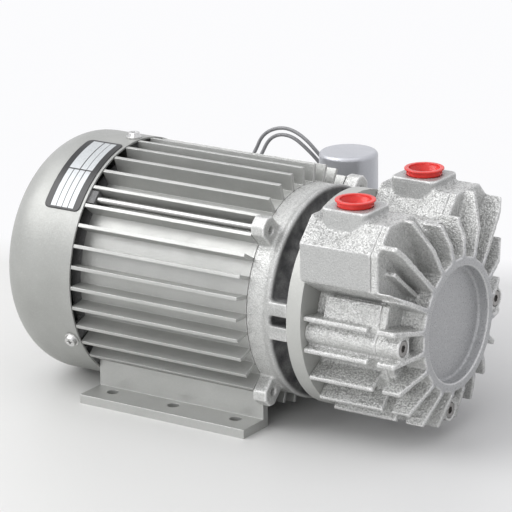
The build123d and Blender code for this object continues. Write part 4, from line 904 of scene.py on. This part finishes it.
@dataclass
class PortPlug:
    """Red plug pushed into a port: thin flange, body with two windows, deep well with turned steps.

    A drop is measured down from the plug's top. A step of the well is its inset from the wall and its drop.
    """

    rim_radius: float = 11.3 * MM
    body_radius: float = 10.0 * MM
    skirt_radius: float = 9.2 * MM
    skirt_round: float = 1.5 * MM
    well_radius: float = 8.7 * MM
    rim_height: float = 1.1 * MM
    rim_fillet: float = 0.25 * MM
    body_foot: float = 3.75 * MM
    body_round: float = 0.2 * MM
    well_lip: float = 0.35 * MM
    floor_round: float = 0.6 * MM
    axis_radius: float = 0.4 * MM
    body_drops_mm: tuple[float, ...] = (3.25, 3.15, 2.6, 2.0, 1.55, 1.45)
    well_steps_mm: tuple[Pair, ...] = ((0.0, 1.7), (0.3, 1.85), (0.32, 3.3), (0.6, 3.45), (0.62, 5.6))
    window_drops_mm: Pair = (1.5, 3.2)
    window_depth: float = 1.2 * MM
    window_angles: Pair = (226.0, 14.0)
    window_half: float = 11.0
    window_blend: float = 2.5
    steps: int = 144

    def profile(self, foot: float, top: float) -> np.ndarray:
        """Radius and height of the plug's outline: up the skirt and body, over the flange, down the well.

        Args:
            foot: height of the plug's foot.
            top: height of its top.

        Returns:
            The points, shape (points, 2), from the lower middle outwards, back to the top middle.
        """
        rim, body, skirt, well = self.rim_radius, self.body_radius, self.skirt_radius, self.well_radius
        lip, fillet = self.rim_height / 2, self.rim_fillet
        body_foot = top - self.body_foot
        return np.vstack(
            [
                [(self.axis_radius, foot)],
                [(skirt - 1.8 * MM, foot)],
                arc((skirt - self.skirt_round, foot + self.skirt_round), self.skirt_round, 280, 360, 6),
                [(skirt, body_foot - 0.12 * MM)],
                [(body - 0.25 * MM, body_foot)],
                arc((body - self.body_round, body_foot + self.body_round), self.body_round, 290, 360, 4),
                [(body, top - drop * MM) for drop in self.body_drops_mm],
                arc((body + fillet, top - self.rim_height - fillet), fillet, 180, 90, 4),
                arc((rim - lip, top - lip), lip, -80, 80, 10),
                [(rim - 1.3 * MM, top)],
                arc((well + self.well_lip, top - self.well_lip), self.well_lip, 90, 180, 5),
                [(well - inset * MM, top - drop * MM) for inset, drop in self.well_steps_mm],
                arc((well - 1.3 * MM, top - 5.7 * MM), self.floor_round, -10, -85, 5),
                [(4.0 * MM, top - 6.35 * MM)],
                [(self.axis_radius, top - 6.3 * MM)],
            ]
        )

    def dents(self, profile: np.ndarray, top: float) -> np.ndarray:
        """Windows: the full depth within window_half degrees of a window's middle, none past the blend.

        Args:
            profile: the plug's outline.
            top: height of the plug's top.

        Returns:
            Depth of each point, shape (profile points, steps round the axis).
        """
        angle = np.linspace(0, 360, self.steps, endpoint=False)
        middles = np.array(self.window_angles)[:, None]
        away = np.abs((angle[None, :] - middles + 180) % 360 - 180).min(axis=0)
        across = np.clip((self.window_half + self.window_blend - away) / self.window_blend, 0, 1)
        drop = (top - profile[:, 1]) / MM
        highest, lowest = self.window_drops_mm
        within = (np.abs(profile[:, 0] - self.body_radius) < 0.01 * MM) & (drop > highest) & (drop < lowest)
        return self.window_depth * within[:, None] * across[None, :]

    def build(self, node: str, body: Body, finishes: Finishes) -> bpy.types.Object:
        """Turn the plug where its node stands.

        Args:
            node: constructed plug that it stands for.
            body: group that it moves with.
            finishes: every finish, by name.

        Returns:
            The plug.
        """
        low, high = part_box(node)
        profile = self.profile(low.z, high.z)
        centre = ((low.x + high.x) / 2, (low.y + high.y) / 2, 0.0)
        plug = turned(f"{node}_moulding", profile, centre, self.dents(profile, high.z))
        finishes.dress(plug, "red_plug_plastic")
        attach(plug, body.value)
        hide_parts(node)
        return plug


@dataclass
class Casting:
    """Sand cast piece whose edges and inner corners are rounded as the mould leaves them."""

    node: str
    finish: str
    slot: str
    grid: float = 0.7 * MM
    rounds: int = 4
    kept_share: float = 0.5
    same_point: float = 0.001 * MM

    def skin(self, solid: bpy.types.Mesh) -> bpy.types.Mesh:
        """Skin of a grid of cells round the solid, each point then moved halfway to its neighbours' mean.

        Args:
            solid: the constructed mesh, of loose triangles.

        Returns:
            The rounded mesh, with flat stretches thinned out.
        """
        mesh = solid.copy()
        merged = bmesh.new()
        merged.from_mesh(mesh)
        bmesh.ops.remove_doubles(merged, verts=merged.verts, dist=self.same_point)
        merged.to_mesh(mesh)
        merged.free()
        blank = linked(f"{self.node}_blank", mesh)
        cells = blank.modifiers.new("cells", "REMESH")
        cells.mode = "VOXEL"
        cells.voxel_size = self.grid
        rounding = blank.modifiers.new("rounding", "SMOOTH")
        rounding.factor = 0.5
        rounding.iterations = self.rounds
        thinning = blank.modifiers.new("thinning", "DECIMATE")
        thinning.ratio = self.kept_share
        skin = bpy.data.meshes.new_from_object(blank.evaluated_get(bpy.context.evaluated_depsgraph_get()))
        bpy.data.objects.remove(blank)
        skin.polygons.foreach_set("use_smooth", [True] * len(skin.polygons))
        return skin

    def build(self, nodes: dict[str, bpy.types.Object], finishes: Finishes) -> bpy.types.Object:
        """Make the rounded piece, which stands for its node.

        Args:
            nodes: constructed nodes by name.
            finishes: every finish, by name.

        Returns:
            The piece.
        """
        piece = linked(f"{self.node}_casting", self.skin(nodes[self.node].data))
        piece.data.materials.clear()
        finishes.dress(piece, self.finish)
        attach(piece, Body.HOUSING.value)
        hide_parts(self.node)
        return piece


@dataclass
class CapacitorLead:
    """Sleeved lead that loops from the terminal box over to the capacitor."""

    name: str
    route: list[Point]
    length: float
    radius: float = 1.1 * MM

    def build(self, finishes: Finishes) -> bpy.types.Object:
        """One smooth curve whose control points are the lead's route.

        Args:
            finishes: every finish, by name.

        Returns:
            The lead.
        """
        curve = bpy.data.curves.new(f"{self.name}_sleeve", "CURVE")
        curve.dimensions = "3D"
        spline = curve.splines.new("NURBS")
        spline.points.add(len(self.route) - 1)
        for point, place in zip(spline.points, self.route):
            point.co = (*(MM * value for value in place), 1.0)
        spline.order_u = 3
        spline.use_endpoint_u = True
        curve.resolution_u = 12
        curve.bevel_depth = self.radius
        curve.bevel_resolution = 5
        curve.use_fill_caps = True
        lead = linked(f"{self.name}_sleeve", curve)
        curve.materials.append(finishes.made["lead_sleeve"])
        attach(lead, Body.HOUSING.value)
        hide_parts(self.name)
        return lead


@dataclass
class Capacitor:
    """Run capacitor beside the terminal box, with its two leads."""

    lead_top: float = 105.0
    lug_top: float = 70.0

    def build(self, finishes: Finishes) -> list[bpy.types.Object]:
        """Lay the outer and the inner lead.

        Args:
            finishes: every finish, by name.

        Returns:
            Both leads.
        """
        outer = [
            (-41.0, 93.5, self.lead_top), (-41.0, 93.5, 110.6), (-38.3, 95.5, 117.0),
            (-34.8, 95.5, 124.4), (-28.5, 95.2, 129.6), (-19.9, 95.5, 132.4),
            (-11.4, 95.5, 131.5), (-2.9, 95.5, 127.3), (4.6, 96.0, 120.3),
            (10.4, 98.6, 112.6), (14.6, 102.6, 104.2), (17.4, 106.2, 95.2),
            (18.8, 108.0, 86.0), (19.2, 108.5, 77.6), (19.2, 108.5, self.lug_top),
        ]
        inner = [
            (-35.6, 93.5, self.lead_top), (-35.6, 93.5, 110.4), (-33.3, 95.5, 116.5),
            (-30.6, 95.6, 121.7), (-26.1, 95.3, 126.0), (-19.9, 95.5, 128.2),
            (-12.1, 95.6, 127.4), (-4.6, 95.5, 123.1), (3.0, 97.4, 115.8),
            (8.0, 100.4, 108.0), (11.0, 103.8, 99.6), (12.6, 106.0, 91.0),
            (13.0, 107.0, 83.0), (13.0, 107.2, 76.4), (13.0, 107.2, self.lug_top),
        ]
        return [
            CapacitorLead("capacitor_lead_outer", outer, 0.1215).build(finishes),
            CapacitorLead("capacitor_lead_inner", inner, 0.1068).build(finishes),
        ]


NODES_IN: dict[str, tuple[str, ...]] = {
    "paint_motor_frame": ("motor_frame",),
    "paint_fan_cover": ("fan_cover",),
    "paint_side_plate": ("rear_side_plate",),
    "paint_terminal_box": ("terminal_box", "terminal_box_lid"),
    "paint_capacitor": ("capacitor",),
    "paint_strap": ("capacitor_clamp",),
    "casting_end_shield": ("front_end_shield",),
    # rear shield in near black: painted shade under the fan cover
    "rear_shield_painted_shade": ("rear_end_shield",),
    "casting_cylinder": ("pump_cylinder",),
    "casting_front_cover": ("front_cover",),
    "zinc_rods": ("tie_rods",),
    "zinc_screws": (
        "fan_cover_screws", "side_plate_screws", "lid_screws", "clamp_screws", "rotor_end_screw",
    ),
    "ground_bearing_steel": (
        "front_bearing_outer_ring", "front_bearing_inner_ring", "front_bearing_balls",
        "rear_bearing_outer_ring", "rear_bearing_inner_ring", "rear_bearing_balls",
    ),
    "pressed_cage_steel": ("front_bearing_cage", "rear_bearing_cage"),
    "spring_steel": ("wave_washer", "fan_circlip", "cover_screws", "rotor_key"),
    "turned_shaft": ("motor_shaft",),
    "turned_pump_rotor": ("pump_rotor",),
    "laminated_core": ("rotor_core", "stator_core"),
    "varnished_winding": ("stator_windings",),
    "grey_fan_plastic": ("cooling_fan",),
    "black_rubber": ("shaft_seal", "lead_grommets"),
    "gasket_rubber": ("terminal_box_gasket",),
    "vane_carbon": ("vane_1", "vane_2", "vane_3", "vane_4"),
    "red_plug_plastic": ("near_port_plug", "far_port_plug"),
    "black_plastic": ("terminal_board", "cable_gland", "capacitor_base_cap"),
    "lead_sleeve": ("capacitor_lead_outer", "capacitor_lead_inner"),
}


class CarriedPieces:
    """The constructed nodes, whether they keep their shape or a new piece stands for them."""

    def build(self, nodes: dict[str, bpy.types.Object], finishes: Finishes) -> None:
        """Dress every node in the finish whose row holds its name.

        Args:
            nodes: constructed nodes by name.
            finishes: every finish, by name.
        """
        finish_of = {name: finish for finish, names in NODES_IN.items() for name in names}
        for name, node in nodes.items():
            finishes.dress(node, finish_of[name])


@dataclass(frozen=True)
class Softbox:
    """Square soft lamp that looks at the middle of the pump."""

    name: str
    place: Point
    size: float
    power: float
    target: Point = (0.02, 0.0, 0.07)

    def build(self) -> None:
        """Place the lamp."""
        data = bpy.data.lights.new(self.name, "AREA")
        data.size = self.size
        data.energy = self.power
        lamp = linked(self.name, data)
        aim = (Vector(self.target) - Vector(self.place)).to_track_quat("-Z", "Y").to_matrix().to_4x4()
        lamp.matrix_world = Matrix.Translation(self.place) @ aim


@dataclass
class Studio:
    """Pale floor, soft lamps, bright surroundings and the camera at the photograph's angle."""

    camera_place: Point = (0.93599, -1.37275, 0.59726)
    yaw: float = 33.61
    pitch: float = -17.29
    roll: float = -0.81
    focal_share: float = 3025.5 / 512
    sensor: float = 36.0
    ambient: float = 0.62
    surroundings: Colour = (0.97, 0.97, 1.0, 1.0)
    floor_half: float = 8.0
    floor_left: Colour = (0.68, 0.68, 0.665, 1.0)
    floor_right_shaded: Colour = (0.66, 0.66, 0.655, 1.0)
    floor_shade_span: Pair = (-0.13, 0.1)
    backdrop: Colour = (0.97, 0.97, 0.985, 1.0)
    seam: Pair = (0.22, 0.28)
    seam_slant: float = 0.2
    lamps: tuple[Softbox, ...] = (
        Softbox("left_softbox", (-1.2, -1.0, 1.6), size=1.7, power=32.0),
        Softbox("top_softbox", (0.1, -0.2, 2.0), size=1.8, power=10.0),
        Softbox("front_fill", (0.3, -2.2, 0.7), size=1.4, power=12.0),
    )

    def build_camera(self) -> None:
        """Place the camera: turned from level along +Y by its roll, then its pitch, then its yaw."""
        data = bpy.data.cameras.new("view")
        data.sensor_width = self.sensor
        data.lens = self.focal_share * self.sensor
        camera = linked("view", data)
        yaw, pitch, roll = (math.radians(value) for value in (self.yaw, self.pitch + 90, self.roll))
        turn = Matrix.Rotation(yaw, 4, "Z") @ Matrix.Rotation(pitch, 4, "X") @ Matrix.Rotation(roll, 4, "Z")
        camera.matrix_world = Matrix.Translation(self.camera_place) @ turn
        bpy.context.scene.camera = camera

    def seen_directly(self, graph: Graph) -> Socket:
        """1 for a camera, glossy or transmission ray.

        Args:
            graph: graph of a material or of the world.

        Returns:
            The value.
        """
        light = graph.add("ShaderNodeLightPath")
        seen = graph.plus(light.outputs["Is Camera Ray"], light.outputs["Is Glossy Ray"])
        return graph.math("ADD", seen, light.outputs["Is Transmission Ray"], clamp=True)

    def build_world(self) -> None:
        """Surroundings: white where they are seen, a plain soft light where they shine."""
        world = bpy.data.worlds.new("surroundings")
        bpy.context.scene.world = world
        world.use_nodes = True
        graph = Graph(world.node_tree)
        background = world.node_tree.nodes["Background"]
        graph.put(background.inputs["Color"], self.surroundings)
        inputs = {0: self.seen_directly(graph), 2: self.ambient, 3: 1.0}
        strength = graph.add("ShaderNodeMix", inputs, data_type="FLOAT").outputs[0]
        graph.put(background.inputs["Strength"], strength)

    def build_floor(self) -> None:
        """Pale floor with painted shade that greys it towards the right, turning white behind the pump."""
        half = self.floor_half
        mesh = bpy.data.meshes.new("floor")
        corners = [(-half, -half, 0.0), (half, -half, 0.0), (half, half, 0.0), (-half, half, 0.0)]
        mesh.from_pydata(corners, [], [(0, 1, 2, 3)])
        floor = linked("floor", mesh)
        coat = Coat("floor_card")
        mesh.materials.append(coat.material)
        graph = coat.graph
        x, y, _ = graph.split(coat.place)
        ahead, aside = math.cos(math.radians(self.yaw)), math.sin(math.radians(self.yaw))
        away = graph.plus(graph.times(x, -aside), graph.times(y, ahead))
        side = graph.plus(graph.times(x, ahead), graph.times(y, aside))
        # painted shade: the floor darkens towards the right
        colour = graph.mix(graph.span(side, *self.floor_shade_span), self.floor_left, self.floor_right_shaded)
        speck = graph.swing(graph.noise(coat.place, scale=400.0, detail=4.0), 0.0, 0.02)
        coat.set(Base_Color=graph.mix(speck, colour, grey(0.4)), Roughness=0.45)
        white = graph.add("ShaderNodeEmission", {"Color": self.backdrop, "Strength": 1.0})
        behind = graph.span(graph.plus(away, graph.times(side, self.seam_slant)), *self.seam)
        far = graph.times(behind, self.seen_directly(graph))
        blend = graph.add("ShaderNodeMixShader", {0: far, 1: coat.shader.outputs[0], 2: white.outputs[0]})
        graph.put(graph.tree.nodes["Material Output"].inputs["Surface"], blend.outputs[0])

    def build(self) -> None:
        """Set the whole studio."""
        bpy.context.scene.view_settings.view_transform = "Standard"
        self.build_camera()
        self.build_world()
        self.build_floor()
        for lamp in self.lamps:
            lamp.build()


def main() -> None:
    """Load the frame, dress it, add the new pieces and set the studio."""
    logging.basicConfig(level=logging.INFO, format="%(name)s %(message)s")
    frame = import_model()
    Studio().build()
    finishes = Finishes(Effects())
    nodes = frame["nodes"]
    leads = Capacitor().build(finishes)
    CarriedPieces().build(nodes, finishes)
    made = [
        *leads,
        Casting("front_cover", "casting_front_cover", "cast_silver").build(nodes, finishes),
        Casting("pump_cylinder", "casting_cylinder", "cast_silver", 0.8 * MM).build(nodes, finishes),
        Casting("front_end_shield", "casting_end_shield", "silver_aluminium", 0.8 * MM).build(
            nodes, finishes
        ),
        Nameplate().build(finishes),
        PortPlug().build("near_port_plug", Body.NEAR_PLUG, finishes),
        PortPlug().build("far_port_plug", Body.FAR_PLUG, finishes),
    ]
    LOG.info("dressed %d constructed nodes", len(nodes))


if __name__ == "__main__":
    main()
